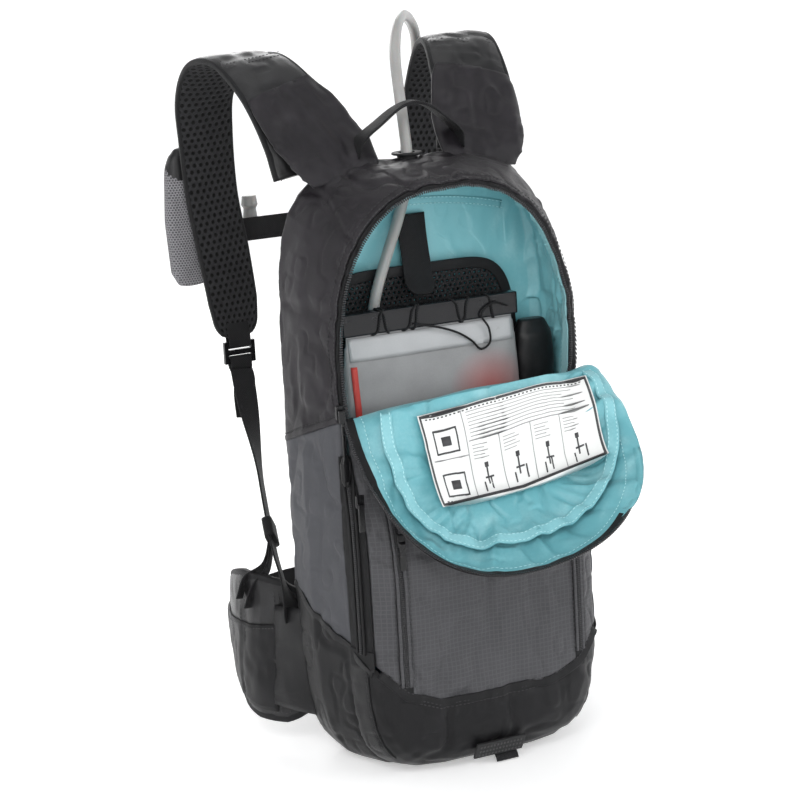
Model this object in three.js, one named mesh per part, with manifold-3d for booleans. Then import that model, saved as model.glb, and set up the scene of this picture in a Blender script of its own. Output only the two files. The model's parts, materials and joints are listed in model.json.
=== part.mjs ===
// A ten-litre hydration backpack, standing upright with its main flap open.
// Millimetres. +Z up, the wearer's side faces +Y, the opening faces -Y, origin at the centre of the base.
import * as THREE from 'three';
import { mergeVertices } from 'three/addons/utils/BufferGeometryUtils.js';
import Module from 'manifold-3d';

const wasm = await Module();
wasm.setup();

// ---------------------------------------------------------------- driving dimensions
const GAP = 0.3; // free space between two touching pieces
const WALL = 3; // padded fabric wall
const HALF_WIDTH = 121; // widest half width of the pack
const HEIGHT = 479; // top of the bag
const MOUTH_Y = -79; // plane of the main zip
const FOLD_Z = 291; // height of the flap's fold line
const FOLD_Y = -80;
const FLAP_OPEN = THREE.MathUtils.degToRad(129); // flap angle when open, from closed
const ARCH = { half: 105, rise: 136, middle: 330, power: 2.3 }; // main zip arch, a superellipse
const HOSE_DIAMETER = 9;
const WEBBING = 1.6; // thickness of every webbing
const STRAP_PAD = 9; // thickness of a shoulder pad
const STERNUM_Z = 407; // height of the chest strap
const STERNUM_Y = 171; // centre plane of the chest strap
const HIP_Z = 84; // height of the hip belt's webbing
const HIP_Y = 186;

const BLACK = 0x1b1a1d;
const CHARCOAL = 0x2a282c;
const GREY = 0x56575b;
const CYAN = 0x8fcdd2;
const colours = {
  nylon: [CHARCOAL, 0.65],
  panel: [GREY, 0.6],
  pad: [BLACK, 0.8],
  webbing: [BLACK, 0.85],
  lining: [CYAN, 0.7],
  mesh: [0x151517, 0.9],
  zip: [0x101012, 0.5],
  plastic: [0x161617, 0.35],
  film: [0xc8ccd0, 0.3],
  hose: [0xb4b4b0, 0.35],
  label: [0xeeeeea, 0.8],
  rubber: [0x19191a, 0.7],
};

const BASE_CENTRE = 40; // distance from the back plane to the centre of the base, where the origin is
const pack = new THREE.Group();
pack.position.y = BASE_CENTRE;

// ---------------------------------------------------------------- solid tools
const v3 = (x, y, z) => new THREE.Vector3(x, y, z);

function signedVolume(positions, index) {
  let total = 0;
  const a = v3(0, 0, 0);
  const b = v3(0, 0, 0);
  const c = v3(0, 0, 0);
  for (let i = 0; i < index.length; i += 3) {
    a.fromArray(positions, index[i] * 3);
    b.fromArray(positions, index[i + 1] * 3);
    c.fromArray(positions, index[i + 2] * 3);
    total += a.dot(b.cross(c));
  }
  return total;
}

// A closed body from rings of points: neighbours are joined, and the first and last rings are capped.
function loft(rings) {
  const count = rings[0].length;
  const positions = rings.flat().flatMap((p) => [p.x, p.y, p.z]);
  const index = [];
  for (let r = 0; r + 1 < rings.length; r += 1) {
    for (let i = 0; i < count; i += 1) {
      const j = (i + 1) % count;
      const a = r * count + i;
      const b = r * count + j;
      index.push(a, b, b + count, a, b + count, a + count);
    }
  }
  const caps = [[rings[0], 0, true], [rings.at(-1), (rings.length - 1) * count, false]];
  for (const [ring, start, flip] of caps) {
    const middle = ring.reduce((sum, p) => sum.add(p), v3(0, 0, 0)).divideScalar(count);
    const hub = positions.length / 3;
    positions.push(middle.x, middle.y, middle.z);
    for (let i = 0; i < count; i += 1) {
      const a = start + i;
      const b = start + ((i + 1) % count);
      index.push(...(flip ? [hub, b, a] : [hub, a, b]));
    }
  }
  if (signedVolume(positions, index) < 0) {
    index.reverse();
  }
  const geometry = new THREE.BufferGeometry();
  geometry.setAttribute('position', new THREE.Float32BufferAttribute(positions, 3));
  geometry.setIndex(index);
  return geometry;
}

function toSolid(geometry) {
  const bare = geometry.clone();
  bare.deleteAttribute('normal');
  bare.deleteAttribute('uv');
  const merged = mergeVertices(bare, 1e-4);
  return new wasm.Manifold(new wasm.Mesh({
    numProp: 3,
    vertProperties: new Float32Array(merged.attributes.position.array),
    triVerts: new Uint32Array(merged.index.array),
  }));
}

// The largest body of a cut, without the slivers that the cut leaves beside it.
function largest(solid) {
  return solid.decompose().reduce((best, part) => (part.volume() > best.volume() ? part : best));
}

function toGeometry(solid) {
  const mesh = solid.getMesh();
  const geometry = new THREE.BufferGeometry();
  geometry.setAttribute('position', new THREE.Float32BufferAttribute(mesh.vertProperties, 3));
  geometry.setIndex(new THREE.Uint32BufferAttribute(mesh.triVerts, 1));
  return geometry;
}

// A box from its lowest to its highest corner.
function box(x0, y0, z0, x1, y1, z1) {
  const geometry = new THREE.BoxGeometry(x1 - x0, y1 - y0, z1 - z0);
  return toSolid(geometry.translate((x0 + x1) / 2, (y0 + y1) / 2, (z0 + z1) / 2));
}

// A polygon of [x, z] points, pushed along Y.
function prism(points, y0, y1) {
  const shape = new THREE.Shape(points.map(([x, z]) => new THREE.Vector2(x, z)));
  const geometry = new THREE.ExtrudeGeometry(shape, { depth: y1 - y0, bevelEnabled: false });
  return toSolid(geometry.rotateX(Math.PI / 2).translate(0, y1, 0));
}

function cylinder(radius, length, sides = 16) {
  return new THREE.CylinderGeometry(radius, radius, length, sides);
}

function addMesh(name, shape, finish, parent = pack) {
  const geometry = shape.isBufferGeometry ? shape : toGeometry(largest(shape));
  const [color, roughness] = colours[finish];
  const mesh = new THREE.Mesh(geometry, new THREE.MeshStandardMaterial({ color, roughness, metalness: 0 }));
  mesh.name = name;
  parent.add(mesh);
  return mesh;
}

const mirrored = (points) => points.map(([x, ...rest]) => [-x, ...rest]);

// A band along a smooth path: rows of [x, y, z, width, thickness], with its width lying along `across`.
function band(rows, steps, across = v3(1, 0, 0)) {
  const path = new THREE.CatmullRomCurve3(rows.map(([x, y, z]) => v3(x, y, z)), false, 'centripetal');
  const rings = [];
  for (let s = 0; s <= steps; s += 1) {
    const t = s / steps;
    const at = path.getPoint(t);
    const ahead = path.getTangent(t);
    const side = across.clone().addScaledVector(ahead, -across.dot(ahead)).normalize();
    const out = ahead.clone().cross(side);
    const place = t * (rows.length - 1);
    const low = Math.min(Math.floor(place), rows.length - 2);
    const mix = (k) => THREE.MathUtils.lerp(rows[low][k], rows[low + 1][k], place - low);
    const half = mix(3) / 2;
    const thick = mix(4) / 2;
    const soft = Math.min(thick, half) * 0.55;
    const corners = [
      [half, thick - soft], [half - soft, thick], [soft - half, thick], [-half, thick - soft],
      [-half, soft - thick], [soft - half, -thick], [half - soft, -thick], [half, soft - thick],
    ];
    rings.push(corners.map(([u, w]) => at.clone().addScaledVector(side, u).addScaledVector(out, w)));
  }
  return loft(rings);
}

// A round cord or hose along a hand-laid route.
function tube(points, diameter, steps, sides = 10) {
  const path = new THREE.CatmullRomCurve3(points.map(([x, y, z]) => v3(x, y, z)), false, 'centripetal');
  const section = new THREE.Shape();
  for (let i = 0; i < sides; i += 1) {
    const angle = (2 * Math.PI * i) / sides;
    const [x, y] = [(Math.cos(angle) * diameter) / 2, (Math.sin(angle) * diameter) / 2];
    if (i) {
      section.lineTo(x, y);
    } else {
      section.moveTo(x, y);
    }
  }
  return new THREE.ExtrudeGeometry(section, { steps, extrudePath: path, bevelEnabled: false });
}

// A soft cushion: an upright loft of rounded sections, [z, x, y, half width, half depth].
function cushion(levels, power = 3, sides = 16) {
  return loft(levels.map(([z, x, y, half, deep]) => {
    const ring = [];
    for (let i = 0; i < sides; i += 1) {
      const angle = (2 * Math.PI * i) / sides;
      const bend = (value) => Math.sign(value) * Math.abs(value) ** (2 / power);
      ring.push(v3(x + half * bend(Math.cos(angle)), y + deep * bend(Math.sin(angle)), z));
    }
    return ring;
  }));
}

// ---------------------------------------------------------------- the bag's outer form
// Upright outlines at a depth y: half width, top, bottom, height of the widest part, and the
// roundness above and below it.
const MAIN_SECTIONS = [
  [0, 112, 474, 6, 300, 5, 7],
  [-9, HALF_WIDTH, HEIGHT, -3, 300, 4.2, 7],
  [-40, HALF_WIDTH, HEIGHT - 2, -4, 305, 3.1, 7],
  [-68, 111, 471, -3, 322, 2.5, 6.5],
  [MOUTH_Y, 106, 467, 3, ARCH.middle, ARCH.power, 6],
];
const POCKET_SECTIONS = [
  [-74, 107, 286, 0, 150, 6, 5.5],
  [MOUTH_Y, 107, 284, 0, 150, 6, 5.2],
  [-84, 106, 268, 0, 150, 6, 5],
  [-92, 104.5, 254, 1, 150, 6, 4.8],
  [-100, 102, 240, 4, 150, 5.5, 4.6],
  [-108, 96, 223, 9, 145, 5, 4.5],
  [-114, 87, 204, 17, 140, 4.5, 4.2],
  [-118, 73, 186, 30, 130, 4, 4],
  [-120, 50, 166, 60, 120, 3.5, 3.5],
];

function outline([y, half, top, bottom, middle, above, below], inset, sides = 32) {
  const ring = [];
  for (let i = 0; i < sides; i += 1) {
    const angle = (2 * Math.PI * (i + 0.5)) / sides;
    const power = Math.sin(angle) > 0 ? above : below;
    const bend = (value) => Math.sign(value) * Math.abs(value) ** (2 / power);
    const reach = Math.sin(angle) > 0 ? top - inset - middle : middle - bottom - inset;
    const x = (half - inset) * bend(Math.cos(angle));
    ring.push(v3(x, y, middle + reach * bend(Math.sin(angle))));
  }
  return ring;
}

// The main body, made smaller all round by `inset`, from the plane yBack to the plane of the main zip.
function mainForm(inset, shiftBack, shiftFront) {
  const last = MAIN_SECTIONS.length - 1;
  return toSolid(loft(MAIN_SECTIONS.map((section, i) => {
    const moved = [...section];
    moved[0] += i === 0 ? -shiftBack : 0;
    moved[0] += i === last ? shiftFront : 0;
    return outline(moved, inset);
  }))).subtract(box(-200, -140, -50, 200, 50, inset));
}

function pocketForm(inset) {
  return toSolid(loft(POCKET_SECTIONS.map((section, i) => {
    const moved = [...section];
    moved[0] += i ? inset : 0;
    return outline(moved, inset);
  })));
}

// The zip arch, made smaller all round by `inset`, closed by a level edge at height `floor`.
function archOutline(inset, floor, sides = 24) {
  const half = ARCH.half - inset;
  const rise = ARCH.rise - inset;
  const start = Math.asin(((ARCH.middle - floor) / rise) ** (ARCH.power / 2));
  const points = [];
  for (let i = 0; i <= sides; i += 1) {
    const angle = -start + ((Math.PI + 2 * start) * i) / sides;
    const bend = (value) => Math.sign(value) * Math.abs(value) ** (2 / ARCH.power);
    points.push([half * bend(Math.cos(angle)), ARCH.middle + rise * bend(Math.sin(angle))]);
  }
  return points;
}

const archPrism = (inset, floor, y0, y1) => prism(archOutline(inset, floor), y0, y1);

// ---------------------------------------------------------------- the bag's panels, cut from one wall
const ZIP_TAPE = 4; // half tape of the main zip, from the fabric to the teeth
const TEETH_INSET = ZIP_TAPE; // the teeth run this far inside the arch

const hollow = mainForm(WALL, WALL, WALL).add(pocketForm(WALL));
const wall = mainForm(0, 0, 0).add(pocketForm(0)).subtract(hollow);

// Everything above a slanting seam that runs from the back edge forward and up to the main zip.
const SEAM_BACK = 262;
const SEAM_RISE = 0.365;
const BOOT_BACK = 154;
const BOOT_DROP = 0.614;

// A block with a slanting underside or top, seen along X: [y, z] points pushed across the whole width.
function slantBlock(points, x0 = -200, x1 = 200) {
  const shape = new THREE.Shape(points.map(([y, z]) => new THREE.Vector2(y, z)));
  const geometry = new THREE.ExtrudeGeometry(shape, { depth: x1 - x0, bevelEnabled: false });
  const turn = new THREE.Matrix4().makeBasis(v3(0, 1, 0), v3(0, 0, 1), v3(1, 0, 0));
  return toSolid(geometry.applyMatrix4(turn).translate(x0, 0, 0));
}

const seamTop = (y) => SEAM_BACK - SEAM_RISE * y;
const seamBoot = (y) => BOOT_BACK + BOOT_DROP * y;
const FAR_BACK = 30;
const FAR_FRONT = -140;

function above(seam, lift) {
  const back = [FAR_BACK, seam(FAR_BACK) + lift];
  const front = [FAR_FRONT, seam(FAR_FRONT) + lift];
  return slantBlock([back, [FAR_BACK, 600], [FAR_FRONT, 600], front]);
}

function below(seam, lift) {
  const back = [FAR_BACK, seam(FAR_BACK) + lift];
  const front = [FAR_FRONT, seam(FAR_FRONT) + lift];
  return slantBlock([back, front, [FAR_FRONT, -50], [FAR_BACK, -50]]);
}

const PANEL_EDGE = 98; // the front corner panel ends here, at the side zip
const SIDE_ZIP = { inner: 98.6, outer: 107.5, top: 262, bottom: 104 };
const FRONT_ZIP = { inner: 74, outer: 82, top: 232, bottom: 78 };
const HALF_GAP = GAP / 2;

// The boot's upper edge across the front, which dips towards the middle.
const BOOT_FRONT = [[-100, 97], [-78, 73], [-50, 62], [50, 62], [78, 73], [100, 97]];
const bootEdge = (lift, share = 1) => BOOT_FRONT.map(([x, z]) => [x * share, z + lift]);
const frontEdge = bootEdge(HALF_GAP, 0.98);
const frontField = prism([[-PANEL_EDGE, 400], ...frontEdge, [PANEL_EDGE, 400]], -140, -73);
const frontCut = prism([[-100, 400], ...bootEdge(-HALF_GAP), [100, 400]], -140, -73);

const zipBox = (zip, side, grow) => {
  const [a, b] = [side * zip.inner - side * grow, side * zip.outer + side * grow];
  return box(Math.min(a, b), -140, zip.bottom - grow, Math.max(a, b), -76, zip.top + grow);
};

const upper = above(seamTop, HALF_GAP);
const lower = below(seamTop, -HALF_GAP).intersect(above(seamBoot, HALF_GAP));

const HOSE_EXIT = [0, -8, HEIGHT];
const upright = (radius, length, sides) => cylinder(radius, length, sides).rotateX(Math.PI / 2);
const portCut = (radius) => toSolid(upright(radius, 60).translate(0, HOSE_EXIT[1], 470));
const portHole = portCut(8.6);

addMesh('shell_upper', wall.intersect(upper)
  .subtract(archPrism(-GAP, FOLD_Z - 8, -90, -75.5))
  .subtract(archPrism(TEETH_INSET, FOLD_Z - 8, -90, -60))
  .subtract(portHole), 'nylon');
addMesh('main_zip_body', wall.intersect(archPrism(GAP, FOLD_Z + 1, -90, -75.8))
  .subtract(archPrism(ZIP_TAPE, FOLD_Z - 8, -90, -60)), 'zip');

const bootFrontFill = prism([[-100, -50], ...bootEdge(-HALF_GAP), [100, -50]], -140, -73);
const bootReach = prism([[-100.3, -50], ...bootEdge(HALF_GAP), [100.3, -50]], -140, -72.7);
const outside = lower.subtract(frontCut).subtract(bootReach);
for (const [side, word] of [[-1, 'left'], [1, 'right']]) {
  const half = box(Math.min(side * 210, 0), -140, -10, Math.max(side * 210, 0), 10, 500);
  let panel = wall.intersect(outside).intersect(half);
  if (side < 0) {
    panel = panel.subtract(zipBox(SIDE_ZIP, side, GAP));
  }
  addMesh(`side_panel_${word}`, panel, 'panel');
}

const cornerBand = (side) => {
  const [a, b] = [side * (FRONT_ZIP.outer + GAP), side * 140];
  return box(Math.min(a, b), -140, -10, Math.max(a, b), -40, 400);
};
for (const [side, word] of [[-1, 'left'], [1, 'right']]) {
  const corner = wall.intersect(frontField).intersect(below(seamTop, -HALF_GAP)).intersect(cornerBand(side));
  addMesh(`corner_panel_${word}`, corner.subtract(zipBox(SIDE_ZIP, side, GAP)), 'panel');
}
const middleBand = box(-FRONT_ZIP.inner + GAP, -140, -10, FRONT_ZIP.inner - GAP, -40, 400);
const bridge = box(-FRONT_ZIP.outer, -140, FRONT_ZIP.top + GAP, FRONT_ZIP.outer, -40, 400);
const frontArea = wall.intersect(frontField).intersect(below(seamTop, -HALF_GAP));
addMesh('front_pocket_panel', frontArea.intersect(middleBand.add(bridge)), 'panel');
addMesh('side_zip_left', wall.intersect(zipBox(SIDE_ZIP, -1, 0)).intersect(lower), 'zip');
for (const [side, word] of [[-1, 'left'], [1, 'right']]) {
  addMesh(`front_zip_${word}`, wall.intersect(zipBox(FRONT_ZIP, side, 0)), 'zip');
}

const boot = wall.intersect(below(seamBoot, -HALF_GAP)).subtract(frontCut).add(wall.intersect(bootFrontFill));
addMesh('base_shell', boot.subtract(zipBox(SIDE_ZIP, -1, GAP)), 'nylon');

// ---------------------------------------------------------------- back of the bag
const BACK_PANEL = 5; // depth of the panel's outer face
const flatOutline = (section) => outline(section, 0, 28).map((p) => [p.x, p.z]);
addMesh('back_panel', prism(flatOutline([0, 108, 470, 12, 300, 5, 7]), GAP, BACK_PANEL), 'nylon');
for (const [side, word] of [[-1, 'left'], [1, 'right']]) {
  const levels = [[150, 30, 4], [166, 36, 6], [290, 38, 6.5], [410, 34, 6], [440, 26, 4]];
  const middle = BACK_PANEL + GAP + 7;
  const rings = levels.map(([z, half, deep]) => [z, side * 52, middle, half, deep]);
  addMesh(`back_pad_${word}`, cushion(rings), 'pad');
}
const lumbar = [[22, 60, 4.5], [34, 80, 7], [96, 86, 8], [128, 78, 6], [138, 60, 4]];
const lumbarMiddle = BACK_PANEL + GAP + 8;
addMesh('lumbar_pad', cushion(lumbar.map(([z, half, deep]) => [z, 0, lumbarMiddle, half, deep])), 'pad');

// ---------------------------------------------------------------- inside the main compartment
const LINING_INSET = WALL + 0.4;
const LINING = 1.2;
const POCKET_DIVIDER_Y = -78;
const liningSkin = mainForm(LINING_INSET, LINING_INSET, LINING_INSET)
  .subtract(mainForm(LINING_INSET + LINING, LINING_INSET + LINING, -20));
addMesh('main_lining', liningSkin.subtract(archPrism(TEETH_INSET - 1, FOLD_Z - 4, -95, -68))
  .subtract(portCut(9)), 'lining');
const dividerOutline = flatOutline([0, 99.5, 270, 9, 150, 6, 6]);
addMesh('pocket_divider', prism(dividerOutline, POCKET_DIVIDER_Y, POCKET_DIVIDER_Y + 1.6), 'lining');
const meshOutline = flatOutline([0, 86, 389, 14, 200, 7, 7]);
addMesh('mesh_divider', prism(meshOutline, -13.4, -11.4), 'mesh');
const sleeve = [[92, 8, 6], [104, 12, 11], [300, 13, 12], [326, 12, 11], [338, 8, 6]];
addMesh('side_sleeve', cushion(sleeve.map(([z, half, deep]) => [z, 99, -31, half, deep])), 'pad');

// ---------------------------------------------------------------- reservoir, slide bar and hose
const BAG = { x: -3, y: -38, top: 358 };
const bagLevels = [
  [56, 62, 3], [64, 74, 8], [100, 80, 12], [200, 80, 12.5],
  [290, 79, 11], [330, 77, 5], [342, 76, 1.6], [BAG.top, 76, 1.3],
];
const BAR_Y = BAG.y; // plane of the slide bar that closes the reservoir
const bagRings = bagLevels.map(([z, half, deep]) => [z, BAG.x, BAG.y, half, deep]);
addMesh('reservoir_bag', cushion(bagRings, 3.2, 20), 'film');
const bar = box(-81, BAR_Y - 5.5, 346, 75, BAR_Y + 5.5, 364)
  .subtract(box(-90, BAR_Y - 2, 340, 90, BAR_Y + 2, 359.5));
addMesh('slide_bar', bar, 'plastic');
const CORD = [
  [-20, BAR_Y - 7.4, 350], [0, BAR_Y - 7.6, 345], [18, BAR_Y - 7.6, 338], [30, BAR_Y - 7.8, 330],
  [38, BAR_Y - 8.6, 322], [46, BAR_Y - 8.6, 326], [46, BAR_Y - 8.2, 338], [40, BAR_Y - 7.8, 350],
  [52, BAR_Y - 7.6, 358], [64, BAR_Y - 7.4, 354],
];
addMesh('slide_bar_cord', tube(CORD, 1.8, 26, 8), 'webbing');
const OUTLET = [-45, -19.6, 112];
const outletTube = cylinder(4.4, 20, 14).rotateX(Math.PI / 2);
const outletBody = toSolid(outletTube.translate(OUTLET[0], OUTLET[1], 122 - GAP));
const outletFlange = toSolid(cylinder(11, 2, 18).translate(OUTLET[0], -22.4, 112));
addMesh('reservoir_outlet', outletBody.add(outletFlange), 'plastic');
addMesh('hanger_strap', band([
  [0, -8, 432, 26, WEBBING], [0, -10, 415, 26, WEBBING], [0, -14, 396, 26, WEBBING],
  [-2, -22, 380, 26, WEBBING], [-3, -31, 370, 26, WEBBING],
], 12), 'webbing');

const HOSE = [
  [-45, -19.6, 132], [-45.5, -19.6, 160], [-46, -19.6, 220], [-47, -19.6, 290], [-46, -19.6, 340],
  [-40, -19.6, 372], [-29, -18.8, 400], [-14, -14.5, 430], [-3, -10, 456], [0, HOSE_EXIT[1], 478],
  [0.5, -4.5, 499], [2, 3.5, 525], [9, 22, 553], [24, 48, 573], [44, 78, 582], [65, 108, 578],
  [86, 138, 561], [98, 162, 530], [102, 174.5, 498], [102, 176, 460], [98, 179, 432], [86, 181.5, 414],
  [66, 183, 407], [40, 184.5, STERNUM_Z], [10, 185.5, STERNUM_Z],
  [-16, 184.5, STERNUM_Z], [-41, 183, STERNUM_Z],
];
addMesh('drinking_hose', tube(HOSE, HOSE_DIAMETER, 76), 'hose');
const valveSocket = toSolid(cylinder(6.5, 15).rotateZ(Math.PI / 2).translate(-49, 183.6, STERNUM_Z));
function lathe(profile, sides) {
  return new THREE.LatheGeometry(profile.map(([r, z]) => new THREE.Vector2(r, z)), sides);
}

const valveProfile = [
  [0, -8], [7.5, -8], [9.5, -3], [9.5, 4], [6.5, 7], [5.5, 16], [7.3, 19], [6.2, 27], [0, 28],
];
const valveBody = toSolid(lathe(valveProfile, 18).rotateX(Math.PI / 2).translate(-59, 183.6, STERNUM_Z));
const valveBore = cylinder(HOSE_DIAMETER / 2 + GAP, 6).rotateZ(Math.PI / 2);
const valveHole = toSolid(valveBore.translate(-41, 183, STERNUM_Z));
addMesh('bite_valve', valveBody.add(valveSocket).subtract(valveHole), 'hose');
const portProfile = [[6.6, 0], [8, 0], [8, 12], [12.5, 12], [12.5, 14], [6.6, 14], [6.6, 0]];
addMesh('hose_port', toSolid(lathe(portProfile, 20).rotateX(Math.PI / 2)
  .translate(0, HOSE_EXIT[1], HEIGHT - 12 + GAP + 0.2)), 'rubber');

// ---------------------------------------------------------------- flap, drawn closed and then swung open
const flap = new THREE.Group();
flap.position.set(0, FOLD_Y, FOLD_Z);
flap.rotation.x = FLAP_OPEN;
pack.add(flap);
const FLAP_FLOOR = FOLD_Z + 3;
const DOME = [[-76, 0, 0], [-80, 1.5, 0], [-84, 8, 5], [-90, 20, 14], [-95, 34, 26], [-98, 52, 44]];

function archRing(inset, floor, y, sides = 22) {
  const points = archOutline(inset, floor, sides);
  return points.map(([x, z]) => v3(x, y, z));
}

// The flap's dome: arch outlines that shrink towards the front, deeper by `sink` and smaller by `inset`.
function dome(inset, sink) {
  return toSolid(loft(DOME.map(([y, arch, foot], i) => {
    const floor = FLAP_FLOOR + inset + foot * 0.7;
    return archRing(ZIP_TAPE * 2 + GAP + inset + arch, floor, y + (i ? sink : 2 * sink));
  })));
}

const intoFlap = (shape) => toGeometry(shape).translate(0, -FOLD_Y, -FOLD_Z);
const shellFlap = dome(0, 0).subtract(dome(3, 3));
addMesh('flap_shell', intoFlap(shellFlap), 'nylon', flap);
const liningFlap = dome(3 + GAP, 3 + GAP).subtract(dome(4.5 + GAP, 4.5 + GAP));
addMesh('flap_lining', intoFlap(liningFlap.intersect(box(-200, -200, 0, 200, -76.5, 600))), 'lining', flap);
const flapZip = archPrism(ZIP_TAPE + 2 * GAP, FOLD_Z + 4, -79, -76)
  .subtract(archPrism(2 * ZIP_TAPE, FOLD_Z - 6, -90, -60));
addMesh('flap_zip', intoFlap(flapZip), 'zip', flap);
const pocketWall = archPrism(19, FLAP_FLOOR + 10, -77.6, -76.4)
  .intersect(box(-200, -90, 0, 200, -70, 398));
addMesh('flap_pocket', intoFlap(pocketWall), 'lining', flap);
addMesh('care_label', intoFlap(box(-62, -76.1, 306, 82, -75.3, 381)), 'label', flap);

// ---------------------------------------------------------------- outside of the bag
const LOOP_SIDE = [[-46, -9, 484.5], [-43, -13, 495], [-28, -18, 508], [-12, -21, 519]];
const LOOP = [...LOOP_SIDE, [0, -21.5, 522], ...mirrored(LOOP_SIDE).reverse()];
addMesh('haul_loop', band(LOOP.map((p) => [...p, 20, WEBBING]), 22, v3(0, 1, 0)), 'webbing');
const patchTilt = Math.atan2(25, -14);
const patch = new THREE.BoxGeometry(44, 16, 2.4).rotateX(patchTilt);
addMesh('light_loop_patch', patch.translate(0, -117, 14.5), 'rubber');

// A slider with its pull tab, standing in front of a zip.
function zipSlider(x, y, z) {
  const body = box(x - 3.5, y, z - 5, x + 3.5, y + 2.4, z + 5);
  const tab = box(x - 2.5, y - 1.6, z - 24, x + 2.5, y + 0.4, z - 2);
  return body.add(tab);
}
addMesh('side_zip_slider_left', zipSlider(-104, -106.4, 232), 'plastic');
for (const [side, word] of [[-1, 'left'], [1, 'right']]) {
  addMesh(`front_zip_slider_${word}`, zipSlider(side * 78, -121, 200), 'plastic');
}
const PULL = [-105.4, -85.6, 298];
addMesh('main_zip_slider', box(-108.6, -82.6, 292, -102.4, -79.4, 303), 'plastic');
// A block of the puller, hanging from its hinge: half width, half depth, lowest and highest end.
const hung = (half, deep, low, high) => box(
  PULL[0] - half, PULL[1] - deep, PULL[2] + low, PULL[0] + half, PULL[1] + deep, PULL[2] + high);
const pullBar = hung(3, 1.4, -8, 2);
const pullCord = hung(1.2, 1.2, -36, -6);
const dropLevels = [[-58, 2, 1.2], [-54, 4, 2], [-40, 4.4, 2.2], [-34, 2, 1.2]];
const dropRings = dropLevels.map(([z, half, deep]) => [PULL[2] + z, PULL[0], PULL[1], half, deep]);
const pullDrop = cushion(dropRings, 2.4, 12);
addMesh('main_zip_puller', pullBar.add(pullCord).add(toSolid(pullDrop)), 'plastic');

// ---------------------------------------------------------------- harness
const PAD_PATH = [
  [-73, 6, 474, 74, STRAP_PAD], [-77, 15, 497, 71, STRAP_PAD], [-86, 42, 534, 66, STRAP_PAD],
  [-97, 82, 558, 60, STRAP_PAD], [-105, 120, 553, 54, STRAP_PAD], [-107, 148, 526, 49, STRAP_PAD],
  [-104, 160, 490, 46, STRAP_PAD], [-101, 163, 440, 44, STRAP_PAD], [-95, 161, 392, 44, STRAP_PAD],
  [-91, 158, 350, 42, STRAP_PAD], [-90, 155, 318, 34, STRAP_PAD - 2],
];
const WEB_PATH = [
  [-91, 149, 292, 20, WEBBING], [-100, 110, 240, 20, WEBBING], [-112, 64, 188, 20, WEBBING],
  [-120, 32, 160, 20, WEBBING], [-123, 15, 147, 20, WEBBING], [-123, 4.5, 132, 20, WEBBING],
  [-121, 2.4, 112, 20, WEBBING],
];

// A frame in the XZ plane with two slots, through which a webbing is drawn.
function ladderLock(x, y, z) {
  const plate = box(x - 14, y - 2, z - 10, x + 14, y + 2, z + 9);
  const slot = (low, high) => box(x - 10.5, y - 9, z + low, x + 10.5, y + 9, z + high);
  return plate.subtract(slot(-6, -2.5)).subtract(slot(2, 5.5));
}

for (const [side, word] of [[-1, 'left'], [1, 'right']]) {
  const route = (rows) => (side < 0 ? rows : mirrored(rows));
  addMesh(`shoulder_pad_${word}`, band(route(PAD_PATH), 20), 'pad');
  addMesh(`ladder_lock_${word}`, ladderLock(side * 90, 153.5, 306.5), 'plastic');
  addMesh(`strap_webbing_${word}`, band(route(WEB_PATH), 10), 'webbing');
}
const pouchLevels = [[362, 12, 5], [374, 18, 9], [420, 21, 11], [470, 17, 8], [484, 8, 4]];
const pouch = cushion(pouchLevels.map(([z, half, deep]) => [z, -118, 180.5, half, deep]));
addMesh('strap_pouch_left', pouch, 'mesh');
const keeperBore = upright(HOSE_DIAMETER / 2 + 1.4, 30, 20).translate(101.8, 176.2, 458);
const keeperShell = box(91, 168.4, 452, 113, 183.2, 464)
  .subtract(toSolid(keeperBore))
  .subtract(box(97, 160, 440, 106.5, 176, 470));
addMesh('hose_keeper_right', keeperShell, 'webbing');

// ---------------------------------------------------------------- side-release buckles
// Drawn with the webbing along X at the height 0 and the plane y 0; the male half lies towards -X.
const PRONG_APART = 10; // half the distance between the two prongs

function maleBuckle(size) {
  const wide = 13 * size;
  const base = box(-15 * size, -3.2 * size, -wide, -3 * size, 6.2 * size, wide);
  const tunnel = box(-40 * size, -1.4 * size, -11 * size, 20 * size, 1.6 * size, 11 * size);
  const prong = (turn) => {
    const middle = turn * PRONG_APART * size;
    return box(-5 * size, 2.6 * size, middle - 1.7, 15 * size, 5.2 * size, middle + 1.7);
  };
  return base.subtract(tunnel).add(prong(-1)).add(prong(1));
}

function femaleBuckle(size) {
  const wide = 13 * size;
  const body = box(-2.6 * size, -3.2 * size, -wide, 26 * size, 7.8 * size, wide);
  const reach = 11.2 * size + 1.4;
  const socket = box(-9 * size, 1.8 * size, -reach, 17 * size, 6.1 * size, reach);
  const tunnel = box(-9 * size, -1.4 * size, -11 * size, 60 * size, 1.6 * size, 11 * size);
  return body.subtract(socket).subtract(tunnel);
}

const placed = (solid, x, y, z) => toGeometry(solid).translate(x, y, z);
function chestWebbing(x0, x1) {
  return box(x0, STERNUM_Y - 0.7, STERNUM_Z - 10, x1, STERNUM_Y + 0.9, STERNUM_Z + 10);
}

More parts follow.
